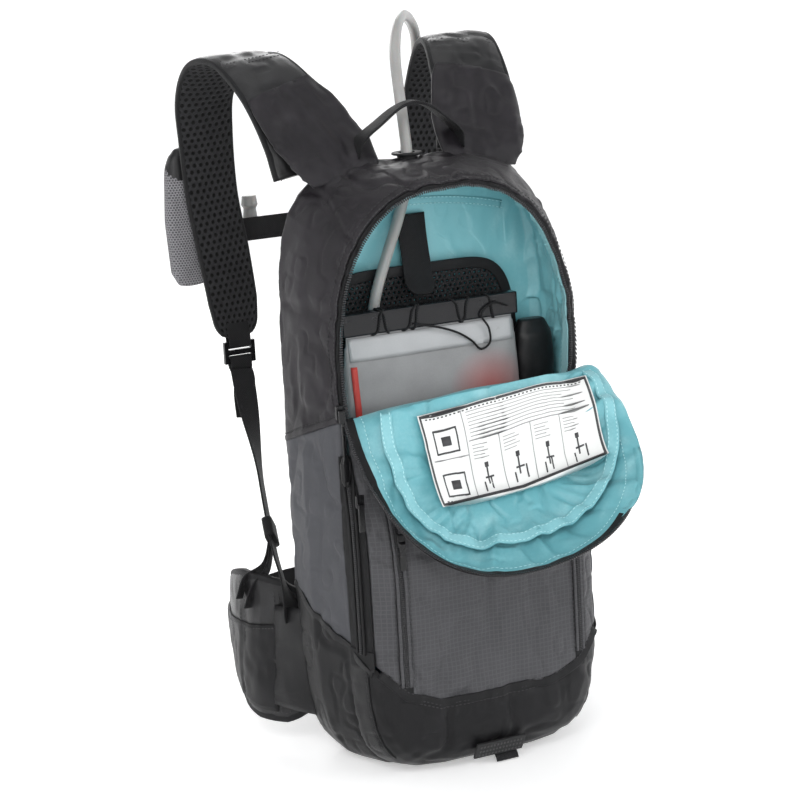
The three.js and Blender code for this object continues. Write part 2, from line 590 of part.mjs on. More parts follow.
addMesh('sternum_buckle_male', placed(maleBuckle(1), 0, STERNUM_Y, STERNUM_Z), 'plastic');
addMesh('sternum_buckle_female', placed(femaleBuckle(1), 0, STERNUM_Y, STERNUM_Z), 'plastic');
addMesh('sternum_webbing_left', chestWebbing(-82, -6), 'webbing');
addMesh('sternum_webbing_right', chestWebbing(14, 82), 'webbing');
for (const [side, word] of [[-1, 'left'], [1, 'right']]) {
  const [a, b] = [side * 80, side * 95];
  const body = box(
    Math.min(a, b), STERNUM_Y - 2.2, STERNUM_Z - 13, Math.max(a, b), STERNUM_Y + 2.6, STERNUM_Z + 13);
  const slot = box(-83, STERNUM_Y - 1.1, STERNUM_Z - 10.4, 83, STERNUM_Y + 1.3, STERNUM_Z + 10.4);
  const clip = body.subtract(slot);
  addMesh(`sternum_slider_${word}`, clip, 'plastic');
}

// ---------------------------------------------------------------- hip belt
const WING_PATH = [
  [-108, 13, 80, 104, 9], [-121, 20, 80, 120, 9], [-134, 39, 82, 124, 9], [-138, 62, 85, 118, 9],
  [-133, 92, 86, 96, 9], [-122, 122, 86, 70, 9], [-107, 147, HIP_Z, 46, 8], [-100, 155, HIP_Z, 40, 6],
];
const BELT_PATH = [
  [-97, 158.5, HIP_Z, 25, WEBBING], [-84, 170, HIP_Z, 25, WEBBING], [-62, 181, HIP_Z, 25, WEBBING],
  [-40, HIP_Y, HIP_Z, 25, WEBBING], [-7, HIP_Y + 0.1, HIP_Z, 25, WEBBING],
];
const HIP_SIZE = 1.25;
const UNCLIPPED = 24; // the free space between the two halves of the released hip buckle
for (const [side, word] of [[-1, 'left'], [1, 'right']]) {
  const route = (rows) => (side < 0 ? rows : mirrored(rows));
  addMesh(`hip_wing_${word}`, band(route(WING_PATH), 16, v3(0, 0, 1)), 'pad');
  addMesh(`hip_webbing_${word}`, band(route(BELT_PATH), 8, v3(0, 0, 1)), 'webbing');
}
addMesh('hip_buckle_male', placed(maleBuckle(HIP_SIZE), -UNCLIPPED / 2 - 3, HIP_Y, HIP_Z), 'plastic');
addMesh('hip_buckle_female', placed(femaleBuckle(HIP_SIZE), UNCLIPPED / 2 - 3, HIP_Y, HIP_Z), 'plastic');

export default pack;
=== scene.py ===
"""A ten-litre hydration pack with its main flap hanging open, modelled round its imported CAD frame."""
import json
import math

import bmesh
import bpy
import numpy as np
from mathutils import Matrix, Vector

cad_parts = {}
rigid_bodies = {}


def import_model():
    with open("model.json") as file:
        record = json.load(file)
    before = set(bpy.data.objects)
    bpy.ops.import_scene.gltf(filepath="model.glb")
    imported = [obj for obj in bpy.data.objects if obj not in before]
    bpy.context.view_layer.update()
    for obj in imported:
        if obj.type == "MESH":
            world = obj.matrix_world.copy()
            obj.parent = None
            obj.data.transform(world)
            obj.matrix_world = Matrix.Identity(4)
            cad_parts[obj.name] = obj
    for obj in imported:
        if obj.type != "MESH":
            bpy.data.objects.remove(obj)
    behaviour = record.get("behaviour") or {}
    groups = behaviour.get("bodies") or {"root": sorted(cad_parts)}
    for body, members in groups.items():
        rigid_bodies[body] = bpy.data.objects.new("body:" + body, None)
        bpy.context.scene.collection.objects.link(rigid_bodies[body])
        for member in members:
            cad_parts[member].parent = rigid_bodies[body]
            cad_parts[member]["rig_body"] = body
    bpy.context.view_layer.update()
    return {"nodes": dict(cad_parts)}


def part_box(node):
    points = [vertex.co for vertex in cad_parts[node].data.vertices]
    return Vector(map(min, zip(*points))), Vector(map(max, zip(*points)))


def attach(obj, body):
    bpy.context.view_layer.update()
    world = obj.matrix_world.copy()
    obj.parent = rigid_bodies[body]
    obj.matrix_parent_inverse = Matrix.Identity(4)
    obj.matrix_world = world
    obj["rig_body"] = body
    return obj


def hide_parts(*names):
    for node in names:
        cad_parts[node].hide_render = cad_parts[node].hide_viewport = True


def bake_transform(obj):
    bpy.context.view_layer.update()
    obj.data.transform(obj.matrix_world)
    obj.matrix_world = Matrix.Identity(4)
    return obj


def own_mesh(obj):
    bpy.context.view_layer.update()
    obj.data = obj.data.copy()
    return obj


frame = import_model()
NODES = frame["nodes"]

# ---------------------------------------------------------------- places, in the pack's own millimetres
MM = 0.001
BACK = 40.0  # from the centre of the base, the origin, to the back plane of the bag, where y is 0 here
FOLD_Y, FOLD_Z = -80.0, 291.0
ARCH_HALF, ARCH_RISE, ARCH_MIDDLE, ARCH_POWER = 105.0, 136.0, 330.0, 2.3
SEAM_BACK, SEAM_RISE = 262.0, 0.365
BOOT_BACK, BOOT_DROP = 154.0, 0.614
STERNUM_Y, STERNUM_Z = 171.0, 407.0
HOSE_DIAMETER = 9.0
UP = np.array((0.0, 0.0, 1.0))
ALONG_X = np.array((1.0, 0.0, 0.0))
ALONG_Y = np.array((0.0, 1.0, 0.0))


def to_world(points):
    return (np.asarray(points, float).reshape(-1, 3) + (0, BACK, 0)) * MM


def to_local(points):
    return np.asarray(points, float).reshape(-1, 3) / MM - (0, BACK, 0)


def unit(v):
    v = np.asarray(v, float)
    return v / np.maximum(np.linalg.norm(v, axis=-1, keepdims=True), 1e-9)


def ease(value, low, high):
    t = np.clip((np.asarray(value, float) - low) / (high - low), 0, 1)
    return t * t * (3 - 2 * t)


def bend(value, power):
    """A sine or cosine bent so that a circle becomes a superellipse of this power."""
    return np.sign(value) * np.abs(value) ** (2 / power)


def lattice(ix, iy, iz, seed):
    h = (ix * 73856093) ^ (iy * 19349663) ^ (iz * 83492791) ^ (seed * 40503)
    h = ((h ^ (h >> 13)) * 1274126177) & 0x7FFFFFFF
    h = ((h ^ (h >> 15)) * 1911520717) & 0x7FFFFFFF
    return (h & 0xFFFF) / 32767.5 - 1


def noise(points, seed):
    """Smooth value noise from -1 to 1, one value for each point."""
    cell = np.floor(points).astype(np.int64)
    f = points - cell
    f = f * f * (3 - 2 * f)
    total = np.zeros(len(points))
    for dx in (0, 1):
        for dy in (0, 1):
            for dz in (0, 1):
                weight = np.ones(len(points))
                for k, d in enumerate((dx, dy, dz)):
                    weight = weight * (f[:, k] if d else 1 - f[:, k])
                total += weight * lattice(cell[:, 0] + dx, cell[:, 1] + dy, cell[:, 2] + dz, seed)
    return total


def sag(points, amount=1.0):
    """The soft give of the bag's fabric: slow waves and creases, the same for every layer that lies at a point."""
    p = np.asarray(points, float).reshape(-1, 3)
    x, y, z = p.T
    out = unit(np.stack([(x / 121) ** 3, ((y + 40) / 45) ** 3, ((z - 240) / 240) ** 3], 1) + 1e-6)
    slow = 2.2 * noise(p / (70, 60, 85), 3) + 0.9 * noise(p / (33, 30, 40), 5)
    line = 1 - np.abs(noise(p / (26, 40, 48) + (0.004 * z)[:, None], 11))
    crinkle = -0.9 * ease(1 - np.abs(noise(p / (11, 12, 17) + (0.01 * z)[:, None], 19)), 0.7, 1.0)
    crease = -2.3 * ease(line, 0.74, 1.0) + 0.8 * noise(p / (15, 15, 19), 17) + crinkle
    hold = (0.12 + 0.88 * ease(-y, 1, 22)) * ease(z, -4, 26)
    track = np.exp(-((np.abs(x) - 78) / 7) ** 2) + np.exp(-((x + 103) / 6) ** 2)
    hold = hold * (1 - 0.75 * np.clip(track * (y < -70) * (z < 268), 0, 1))
    moved = p + out * ((slow + crease) * hold * amount)[:, None]
    moved[:, 2] = np.maximum(moved[:, 2], np.minimum(p[:, 2], 0.2))
    return moved


# ---------------------------------------------------------------- meshes
def coords(mesh):
    co = np.empty(len(mesh.vertices) * 3)
    mesh.vertices.foreach_get("co", co)
    return co.reshape(-1, 3)


def set_coords(mesh, co):
    mesh.vertices.foreach_set("co", np.asarray(co, float).ravel())
    mesh.update()


def make_object(name, mesh):
    obj = bpy.data.objects.new(name, mesh)
    bpy.context.scene.collection.objects.link(obj)
    return obj


def box_uv(mesh):
    """Cloth coordinates in metres, laid square on the side that each face points to."""
    count = len(mesh.polygons)
    normal, total = np.empty(count * 3), np.empty(count, np.int32)
    mesh.polygons.foreach_get("normal", normal)
    mesh.polygons.foreach_get("loop_total", total)
    vert = np.empty(len(mesh.loops), np.int32)
    mesh.loops.foreach_get("vertex_index", vert)
    axis = np.abs(normal.reshape(-1, 3)).argmax(1).repeat(total)
    p = coords(mesh)[vert]
    u = np.where(axis == 0, p[:, 1], p[:, 0])
    v = np.where(axis == 2, p[:, 1], p[:, 2])
    layer = mesh.uv_layers.new(name="Cloth")
    layer.data.foreach_set("uv", np.stack([u, v], 1).ravel())


def piece(name, mesh, body, finish, replaces=(), more=(), faces_finish=None):
    """Adds a mesh, in metres, as a piece of the pack with its finish, its body and the CAD nodes it stands for."""
    if not mesh.uv_layers:
        box_uv(mesh)
    obj = make_object(name, mesh)
    for word in (finish, *more):
        mesh.materials.append(MATERIALS[word][0])
    if faces_finish is not None:
        mesh.polygons.foreach_set("material_index", np.asarray(faces_finish, np.int32))
    mesh.polygons.foreach_set("use_smooth", np.ones(len(mesh.polygons), bool))
    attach(obj, body)
    if replaces:
        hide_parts(*replaces)
    return obj


def across_joint(obj, body, start, end):
    """Frees a piece from its parent, keeping its place in its mesh; it still counts as riding on that body."""
    obj.parent = None
    tuple(to_world(start)[0])
    tuple(to_world(end)[0])
    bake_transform(obj)
    obj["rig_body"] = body


def mesh_from(points, faces, uv=None):
    """points in the pack's millimetres; uv, one pair for each loop, in millimetres of cloth."""
    mesh = bpy.data.meshes.new("m")
    mesh.from_pydata(to_world(points).tolist(), [], [list(map(int, f)) for f in faces])
    if uv is not None:
        layer = mesh.uv_layers.new(name="Cloth")
        layer.data.foreach_set("uv", (np.asarray(uv, float) * MM).ravel())
    mesh.validate()
    mesh.update()
    return mesh


def grid_mesh(rows, round_section=True, capped=True, round_path=False):
    """A skin over rows of points, shape (rows, columns, 3), with cloth coordinates along and across it."""
    rows = np.asarray(rows, float)
    n, k = rows.shape[:2]
    wide = np.linalg.norm(np.diff(rows, axis=1, append=rows[:, :1]), axis=2).mean(0)
    across = np.concatenate([[0], np.cumsum(wide)])
    steps = np.linalg.norm(np.diff(rows, axis=0, append=rows[:1]), axis=2).mean(1)
    along = np.concatenate([[0], np.cumsum(steps)])
    faces, uv = [], []
    for i in range(n if round_path else n - 1):
        for j in range(k if round_section else k - 1):
            a, b = i % n, (i + 1) % n
            c, d = j % k, (j + 1) % k
            faces.append((a * k + c, a * k + d, b * k + d, b * k + c))
            uv += [(across[j], along[i]), (across[j + 1], along[i]), (across[j + 1], along[i + 1]),
                   (across[j], along[i + 1])]
    points = rows.reshape(-1, 3)
    if capped and round_section and not round_path:
        for row, flip in ((0, False), (n - 1, True)):
            ring = list(range(row * k, row * k + k))
            hub = len(points)
            points = np.vstack([points, rows[row].mean(0)])
            for j in range(k):
                pair = (ring[(j + 1) % k], ring[j]) if not flip else (ring[j], ring[(j + 1) % k])
                faces.append((hub, *pair))
                uv += [(0, 0)] * 3
    return mesh_from(points, faces, uv)


def squared(mesh):
    """Drops a grid's own cloth coordinates, so that piece() lays them square."""
    mesh.uv_layers.remove(mesh.uv_layers[0])
    return mesh


def joined(meshes):
    """One mesh from several, keeping their cloth coordinates."""
    made = bmesh.new()
    for mesh in meshes:
        made.from_mesh(mesh)
        bpy.data.meshes.remove(mesh)
    mesh = bpy.data.meshes.new("m")
    made.to_mesh(mesh)
    made.free()
    return mesh


def remeshed(node, voxel, relax=1):
    """A CAD node's solid as an even skin of small quads with softened edges."""
    mesh = NODES[node].data.copy()
    made = bmesh.new()
    made.from_mesh(mesh)
    bmesh.ops.remove_doubles(made, verts=made.verts, dist=1e-5)
    made.to_mesh(mesh)
    made.free()
    mesh.materials.clear()
    obj = make_object("raw", mesh)
    step = obj.modifiers.new("Voxels", "REMESH")
    step.mode = "VOXEL"
    step.voxel_size = voxel * MM
    if relax:
        soft = obj.modifiers.new("Relax", "SMOOTH")
        soft.factor = 0.5
        soft.iterations = relax
    result = bpy.data.meshes.new_from_object(obj.evaluated_get(bpy.context.evaluated_depsgraph_get()))
    bpy.data.objects.remove(obj)
    for layer in list(result.uv_layers):
        result.uv_layers.remove(layer)
    return result


def bent(mesh, change):
    """Moves a mesh's points by a function of their places in the pack's millimetres."""
    set_coords(mesh, to_world(change(to_local(coords(mesh)))))
    return mesh


# ---------------------------------------------------------------- paths
def spline(points, step=3.0):
    """A smooth line through given points, and the place of each sample along the list of points."""
    p = np.asarray(points, float)
    knots = np.vstack([2 * p[0] - p[1], p, 2 * p[-1] - p[-2]])
    line, place = [], []
    for i in range(len(p) - 1):
        a, b, c, d = knots[i:i + 4, :3]
        t1 = np.linalg.norm(b - a) ** 0.5
        t2 = t1 + np.linalg.norm(c - b) ** 0.5
        t3 = t2 + np.linalg.norm(d - c) ** 0.5
        count = max(2, int(round(np.linalg.norm(c - b) / step)))
        for s in range(count if i + 2 < len(p) else count + 1):
            t = t1 + (t2 - t1) * s / count
            e = (t1 - t) / t1 * a + t / t1 * b
            f = (t2 - t) / (t2 - t1) * b + (t - t1) / (t2 - t1) * c
            g = (t3 - t) / (t3 - t2) * c + (t - t2) / (t3 - t2) * d
            h = (t2 - t) / t2 * e + t / t2 * f
            k = (t3 - t) / (t3 - t1) * f + (t - t1) / (t3 - t1) * g
            line.append((t2 - t) / (t2 - t1) * h + (t - t1) / (t2 - t1) * k)
            place.append(i + s / count)
    return np.array(line), np.array(place)


def tangents(line):
    return unit(np.gradient(line, axis=0))


def resample(line, step):
    steps = np.linalg.norm(np.diff(line, axis=0), axis=1)
    run = np.concatenate([[0], np.cumsum(steps)])
    count = max(2, int(round(run[-1] / step)) + 1)
    at = np.linspace(0, run[-1], count)
    return np.stack([np.interp(at, run, line[:, k]) for k in range(3)], 1)


def rounded_profile(width, thick, corner=None, points=4):
    """A flat band's section: a rectangle with round edges, [across, out]."""
    corner = min(thick / 2, width / 2) * 0.95 if corner is None else corner
    ring = []
    for sx, sy, start in ((1, 1, 0), (-1, 1, 90), (-1, -1, 180), (1, -1, 270)):
        for i in range(points):
            a = math.radians(start + 90 * i / (points - 1))
            ring.append((sx * (width / 2 - corner) + corner * math.cos(a),
                         sy * (thick / 2 - corner) + corner * math.sin(a)))
    return np.array(ring)


def swept(line, side, out, section):
    """Rows of a band along a line; section is one ring of [across, out], or one ring for each point."""
    section = np.asarray(section, float)
    if section.ndim == 2:
        section = np.broadcast_to(section, (len(line), *section.shape))
    return line[:, None] + section[..., :1] * side[:, None] + section[..., 1:] * out[:, None]


def banded(points, width, thick, across=ALONG_X, step=3.0):
    """A flat webbing along given points, with its width lying along `across`."""
    line, _ = spline(points, step)
    _, side, out = laid(line, across)
    return grid_mesh(swept(line, side, out, rounded_profile(width, thick)))


def laid(line, across):
    """The direction along a line, the direction of `across` square to it, and the direction out of both."""
    ahead = tangents(line)
    side = unit(across - ahead * (ahead @ across)[:, None])
    return ahead, side, np.cross(ahead, side)


def run_along(line):
    return np.concatenate([[0], np.cumsum(np.linalg.norm(np.diff(line, axis=0), axis=1))])


def round_tube(line, radius, sides=12):
    ahead = tangents(line)
    side = np.empty_like(line)
    guess = ALONG_X if abs(ahead[0] @ ALONG_X) < 0.9 else UP
    for i, t in enumerate(ahead):
        guess = unit(guess - t * (guess @ t))
        side[i] = guess
    out = np.cross(ahead, side)
    angle = np.arange(sides) * 2 * math.pi / sides
    ring = np.stack([np.cos(angle), np.sin(angle)], 1)
    radius = np.broadcast_to(np.asarray(radius, float), len(line))
    return grid_mesh(swept(line, side, out, ring[None] * radius[:, None, None]))


GRAIN = [(-1, 0), (-0.62, 0.85), (0, 1), (0.62, 0.85), (1, 0)]


def grains(centres, ahead, side, out, size):
    """Many small rounded grains, such as stitches or zip teeth: size is (length, width, height)."""
    length, width, height = (s / 2 for s in size)
    rows, faces, sides = [], [], 6
    for along, swell in GRAIN:
        for i in range(sides):
            a = 2 * math.pi * i / sides
            rows.append((along * length, math.cos(a) * swell * width, math.sin(a) * swell * height))
    rows = np.array(rows)
    for r in range(len(GRAIN) - 1):
        for i in range(sides):
            j = (i + 1) % sides
            faces.append((r * sides + i, r * sides + j, (r + 1) * sides + j, (r + 1) * sides + i))
    faces = np.array(faces)
    n = len(centres)
    points = (centres[:, None] + rows[None, :, :1] * ahead[:, None] + rows[None, :, 1:2] * side[:, None]
              + rows[None, :, 2:] * out[:, None]).reshape(-1, 3)
    every = (faces[None] + (np.arange(n) * len(rows))[:, None, None]).reshape(-1, 4)
    return mesh_from(points, every, np.zeros((len(every) * 4, 2)))


def spaced(line, normal, pitch):
    """Places a pitch apart along a line, each with its outward normal and the direction of the line there."""
    dots = resample(line, pitch)
    normal = np.broadcast_to(unit(normal), line.shape)
    run = np.linspace(0, len(line) - 1, len(dots))
    out = unit(np.stack([np.interp(run, np.arange(len(line)), normal[:, k]) for k in range(3)], 1))
    return dots, out, tangents(dots)


def stitched(line, normal, pitch=3.6, length=2.5, width=0.8):
    """A row of stitches along a line, standing a little proud of the surface with that normal."""
    dots, out, ahead = spaced(line, normal, pitch)
    return grains(dots, ahead, unit(np.cross(out, ahead)), out, (length, width, width * 0.7))


def toothed(line, normal, across_size=3.6, pitch=1.9, height=1.5):
    """The coil of a zip: close teeth lying across a line."""
    dots, out, ahead = spaced(line, normal, pitch)
    side = unit(np.cross(out, ahead))
    return grains(dots, side, ahead, out, (across_size, pitch * 0.86, height))


# ---------------------------------------------------------------- finishes
MATERIALS = {}


class Paint:
    """A node material being put together; its name is filed with the record's slot."""

    def __init__(self, name, slot, **fixed):
        material = bpy.data.materials.new(name)
        material.use_nodes = True
        self.tree = material.node_tree
        self.shader = self.tree.nodes["Principled BSDF"]
        MATERIALS[name] = (material, slot)
        for socket, value in fixed.items():
            self.shader.inputs[socket.replace("_", " ")].default_value = value
        self.cloth = self.add("ShaderNodeUVMap", uv_map="Cloth").outputs[0]
        self.place = self.add("ShaderNodeTexCoord").outputs["Object"]
        self.height = None

    def add(self, kind, inputs=None, **settings):
        node = self.tree.nodes.new(kind)
        for key, value in settings.items():
            setattr(node, key, value)
        for key, value in (inputs or {}).items():
            if isinstance(value, bpy.types.NodeSocket):
                self.tree.links.new(value, node.inputs[key])
            else:
                node.inputs[key].default_value = value
        return node

    def math(self, operation, a, b=0.0, c=0.0):
        return self.add("ShaderNodeMath", {0: a, 1: b, 2: c}, operation=operation).outputs[0]

    def noise(self, scale, detail=3.0, ridged=False, source=None, rough=0.5, stretch=None):
        source = self.place if source is None else source
        if stretch:
            source = self.add("ShaderNodeMapping", {"Vector": source, "Scale": stretch}).outputs[0]
        node = self.add("ShaderNodeTexNoise",
                        {"Vector": source, "Scale": scale, "Detail": detail, "Roughness": rough})
        if ridged:
            node.noise_type = "RIDGED_MULTIFRACTAL"
        return node.outputs["Fac"]

    def axes(self, pitch):
        """Turns of a thread pattern along the two cloth directions, with this pitch in millimetres."""
        turned = self.add("ShaderNodeVectorMath", {0: self.cloth, "Scale": 1 / (pitch * MM)}, operation="SCALE")
        split = self.add("ShaderNodeSeparateXYZ", {0: turned.outputs[0]})
        return split.outputs[0], split.outputs[1]

    def threads(self, pitch):
        u, v = self.axes(pitch)
        waves = [self.math("SINE", self.math("MULTIPLY", w, 2 * math.pi)) for w in (u, v)]
        return self.math("MULTIPLY_ADD", self.math("MULTIPLY", *waves), 0.5, 0.5)

    def lines(self, pitch, width):
        """A square grid of lines, 1 on the lines and 0 between them."""
        near = []
        for w in self.axes(pitch):
            off = self.math("ABSOLUTE", self.math("SUBTRACT", self.math("FRACT", w), 0.5))
            near.append(self.math("GREATER_THAN", off, 0.5 - width / pitch / 2))
        return self.math("MAXIMUM", *near)

    def cells(self, pitch):
        """Distance from the middle of the nearest hole of a honeycomb with this pitch: 0 in the middle."""
        u, v = self.axes(pitch)
        found = []
        for shift in (0.0, 0.5):
            a = self.math("SUBTRACT", self.math("FRACT", self.math("ADD", u, shift)), 0.5)
            b = self.math("SUBTRACT", self.math("FRACT", self.math("MULTIPLY_ADD", v, 0.577, shift)), 0.5)
            b = self.math("MULTIPLY", b, 1.732)
            found.append(self.math("SQRT",
                                   self.math("ADD", self.math("MULTIPLY", a, a), self.math("MULTIPLY", b, b))))
        return self.math("MINIMUM", *found)

    def blend(self, factor, a, b):
        mix = self.add("ShaderNodeMix", {0: factor}, data_type="RGBA")
        for slot, colour in ((6, a), (7, b)):
            if isinstance(colour, bpy.types.NodeSocket):
                self.tree.links.new(colour, mix.inputs[slot])
            else:
                mix.inputs[slot].default_value = (*colour, 1)
        return mix.outputs[2]

    def bump(self, height, distance, strength=1.0):
        """Adds relief of this depth, in millimetres, on top of what is there."""
        values = {"Height": height, "Distance": distance * MM, "Strength": strength}
        if self.height is not None:
            values["Normal"] = self.height
        self.height = self.add("ShaderNodeBump", values).outputs[0]

    def done(self, colour=None, rough=None):
        links = self.tree.links
        if colour is not None:
            links.new(colour, self.shader.inputs["Base Color"])
        if rough is not None:
            links.new(rough, self.shader.inputs["Roughness"])
        if self.height is not None:
            links.new(self.height, self.shader.inputs["Normal"])


def fabric(name, slot, dark, light, pitch=1.0, rough=0.55, weave=0.12, crease=0.9, grid=0, sheen=0.03,
           spread=0.12, crease_highlight=0.18,
           gloss=0.2):
    """Woven cloth: threads, slow random changes of tone, creases with a painted highlight along their ridges, and a
    ripstop grid.
    """
    p = Paint(name, slot, Sheen_Weight=sheen, Sheen_Roughness=0.4, Specular_IOR_Level=gloss)
    threads = p.threads(pitch)
    slow = p.noise(11, 4)
    fine = p.noise(420, 2)
    folds = p.noise(24, 3, ridged=True, rough=0.45, stretch=(1, 1, 0.7))
    tone = p.math("MULTIPLY_ADD", threads, 0.22,
                  p.math("MULTIPLY_ADD", slow, 0.75, p.math("MULTIPLY", fine, 0.25)))
    # the ridged crinkles also lighten the colour along their ridges and darken it a little between them, by the share
    # given: a painted highlight on the creases
    small = p.noise(58, 3, ridged=True, rough=0.5, stretch=(1, 1, 0.55))
    tone = p.math("MULTIPLY_ADD", small, crease_highlight, p.math("SUBTRACT", tone, crease_highlight + 0.06))
    colour = p.blend(tone, dark, light)
    if grid:
        lines = p.lines(grid, 0.7)
        colour = p.blend(p.math("MULTIPLY", lines, 0.28), colour, tuple(c * 1.25 for c in light))
        p.bump(lines, 0.1, 0.6)
    p.bump(folds, crease * 2.2, 0.75)
    p.bump(small, crease * 0.9, 0.6)
    p.bump(threads, weave, 0.8)
    p.done(colour, p.math("MULTIPLY_ADD", slow, spread * 2, rough - spread))
    return p


def spacer(name, slot, ridge, hole, pitch=6.4, see_through=False):
    """Knitted mesh with a honeycomb of holes."""
    p = Paint(name, slot, Sheen_Weight=0.03, Sheen_Roughness=0.5, Specular_IOR_Level=0.2)
    away = p.cells(pitch)
    rim = p.math("SMOOTH_MIN", p.math("MULTIPLY", p.math("MAXIMUM", p.math("SUBTRACT", away, 0.2), 0.0), 6.0),
                 1.0, 0.1)
    threads = p.threads(0.8)
    tone = p.math("MULTIPLY", rim, p.math("MULTIPLY_ADD", threads, 0.3,
                                          p.math("MULTIPLY_ADD", p.noise(60, 3), 0.6, 0.4)))
    p.bump(rim, 1.1, 1.0)
    p.bump(threads, 0.12, 0.6)
    p.done(p.blend(tone, hole, ridge), p.math("MULTIPLY_ADD", rim, -0.2, 0.85))
    if see_through:
        p.tree.links.new(p.math("GREATER_THAN", away, 0.22), p.shader.inputs["Alpha"])
    return p


def moulded(name, slot, dark, light, rough=0.3, grain=0.05, coat=0.0, fixed=None, spot=None):
    """Moulded plastic or rubber: a fine grain, flow marks, scuffs and a slightly uneven gloss."""
    p = Paint(name, slot, Coat_Weight=coat, Coat_Roughness=0.12, Specular_IOR_Level=0.35, **(fixed or {}))
    slow, fine = p.noise(40, 4), p.noise(900, 2)
    scuffs = p.noise(160, 5, ridged=True, stretch=(1, 1, 0.25))
    tone = p.math("MULTIPLY_ADD", fine, 0.3, p.math("MULTIPLY", slow, 0.7))
    p.bump(fine, grain, 0.6)
    p.bump(scuffs, grain * 0.8, 0.3)
    colour = p.blend(tone, dark, light)
    if spot:  # a blurred print seen through the film: its middle, its closeness along each axis and its colour
        off = p.add("ShaderNodeVectorMath", {0: p.place, 1: spot[0]}, operation="SUBTRACT").outputs[0]
        off = p.add("ShaderNodeVectorMath", {0: off, 1: spot[1]}, operation="MULTIPLY").outputs[0]
        away = p.add("ShaderNodeVectorMath", {0: off}, operation="LENGTH").outputs["Value"]
        colour = p.blend(p.math("MULTIPLY", p.math("SUBTRACT", 1.15, away), 0.8), colour, spot[2])
    p.done(colour, p.math("MULTIPLY_ADD", slow, 0.22, rough - 0.08))
    return p


fabric("nylon", "nylon", (0.0065, 0.0055, 0.0072), (0.0380, 0.0330, 0.0400), rough=0.42, crease=1.5, crease_highlight=0.4,
       gloss=0.3)
fabric("boot", "nylon", (0.0040, 0.0040, 0.0045), (0.0170, 0.0165, 0.0185), pitch=1.3, rough=0.40, crease=1.8,
       crease_highlight=0.35)
fabric("panel", "panel", (0.045, 0.046, 0.052), (0.094, 0.096, 0.105), rough=0.5, crease=1.0)
fabric("ripstop", "panel", (0.036, 0.036, 0.039), (0.088, 0.088, 0.094), rough=0.38, crease=1.2, grid=3.6)
fabric("pad_outer", "pad", (0.0045, 0.0045, 0.0050), (0.0340, 0.0335, 0.0360), pitch=1.2, rough=0.32,
       crease=1.8, crease_highlight=0.4, gloss=0.35)
fabric("binding", "pad", (0.0045, 0.0045, 0.0050), (0.0180, 0.0180, 0.0195), pitch=0.9, rough=0.55, crease=0.3)
fabric("webbing", "webbing", (0.0040, 0.0040, 0.0045), (0.0200, 0.0200, 0.0215), pitch=1.9, rough=0.62,
       weave=0.4, crease=0.25)
fabric("lining", "lining", (0.13, 0.39, 0.44), (0.50, 0.80, 0.83), pitch=0.8, rough=0.36, weave=0.06,
       crease=2.2,
       crease_highlight=0.55, gloss=0.5)
# a lighter copy of the lining for the inside of the bag: painted light standing in for light that reaches deep into it
fabric("lining_painted_lighter", "lining", (0.20, 0.50, 0.55), (0.62, 0.88, 0.90), pitch=0.8, rough=0.36, weave=0.06,
       crease=2.2,
       crease_highlight=0.55, gloss=0.5)
# the mouth facing is the lining with its dark tones painted lighter: painted light inside the bag's mouth
fabric("facing", "lining", (0.26, 0.56, 0.60), (0.50, 0.80, 0.83), pitch=0.8, rough=0.5, weave=0.08, crease=0.5,
       gloss=0.4)
fabric("hem", "lining", (0.15, 0.42, 0.47), (0.44, 0.74, 0.78), pitch=0.8, rough=0.45, weave=0.08, crease=1.2,
       crease_highlight=0.35, gloss=0.4)
fabric("label", "label", (0.74, 0.75, 0.74), (0.86, 0.87, 0.86), pitch=0.7, rough=0.6, weave=0.04, crease=0.2,
       sheen=0.0)
fabric("print", "label", (0.045, 0.045, 0.048), (0.110, 0.110, 0.114), pitch=0.7, rough=0.6, weave=0.04,
       crease=0.1)
fabric("print_grey", "label", (0.26, 0.26, 0.265), (0.42, 0.42, 0.425), pitch=0.7, rough=0.6, weave=0.04,
       crease=0.1)
fabric("zip_tape", "zip", (0.0040, 0.0040, 0.0045), (0.0150, 0.0150, 0.0160), pitch=1.1, rough=0.65, weave=0.2,
       crease=0.2)
fabric("stitch", "nylon", (0.020, 0.020, 0.021), (0.075, 0.075, 0.078), pitch=0.6, rough=0.6, weave=0.05,
       crease=0.0)
fabric("stitch_teal", "lining", (0.36, 0.66, 0.70), (0.52, 0.80, 0.84), pitch=0.6, rough=0.6, weave=0.05,
       crease=0.0)
spacer("spacer", "pad", (0.022, 0.022, 0.024), (0.0012, 0.0012, 0.0012))
spacer("net", "mesh", (0.020, 0.020, 0.022), (0.004, 0.004, 0.004), pitch=4.6, see_through=True)
spacer("fine_net", "mesh", (0.290, 0.285, 0.300), (0.075, 0.075, 0.080), pitch=2.4)
moulded("coil", "zip", (0.016, 0.016, 0.017), (0.045, 0.045, 0.048), rough=0.22)
moulded("plastic", "plastic", (0.004, 0.004, 0.0045), (0.010, 0.010, 0.011), rough=0.24)
moulded("bar", "plastic", (0.005, 0.005, 0.006), (0.012, 0.012, 0.014), rough=0.2)
moulded("rubber", "rubber", (0.007, 0.007, 0.0075), (0.018, 0.018, 0.019), rough=0.55, grain=0.1)
moulded("hose", "hose", (0.250, 0.250, 0.245), (0.380, 0.380, 0.370), rough=0.32, grain=0.02, coat=0.25,
        fixed={"Subsurface_Weight": 0.15, "Subsurface_Scale": 0.004})
moulded("film", "film", (0.20, 0.203, 0.207), (0.33, 0.335, 0.34), rough=0.34, grain=0.05, coat=0.2,
        spot=((0.045, -0.012, 0.289), (30, 16, 34), (0.42, 0.10, 0.09)))
moulded("film_clear", "film", (0.34, 0.35, 0.36), (0.46, 0.47, 0.48), rough=0.3, grain=0.04, coat=0.3)
moulded("hose_grey", "rubber", (0.030, 0.030, 0.031), (0.070, 0.070, 0.072), rough=0.5)
moulded("mark_red", "film", (0.42, 0.035, 0.030), (0.60, 0.075, 0.060), rough=0.45)

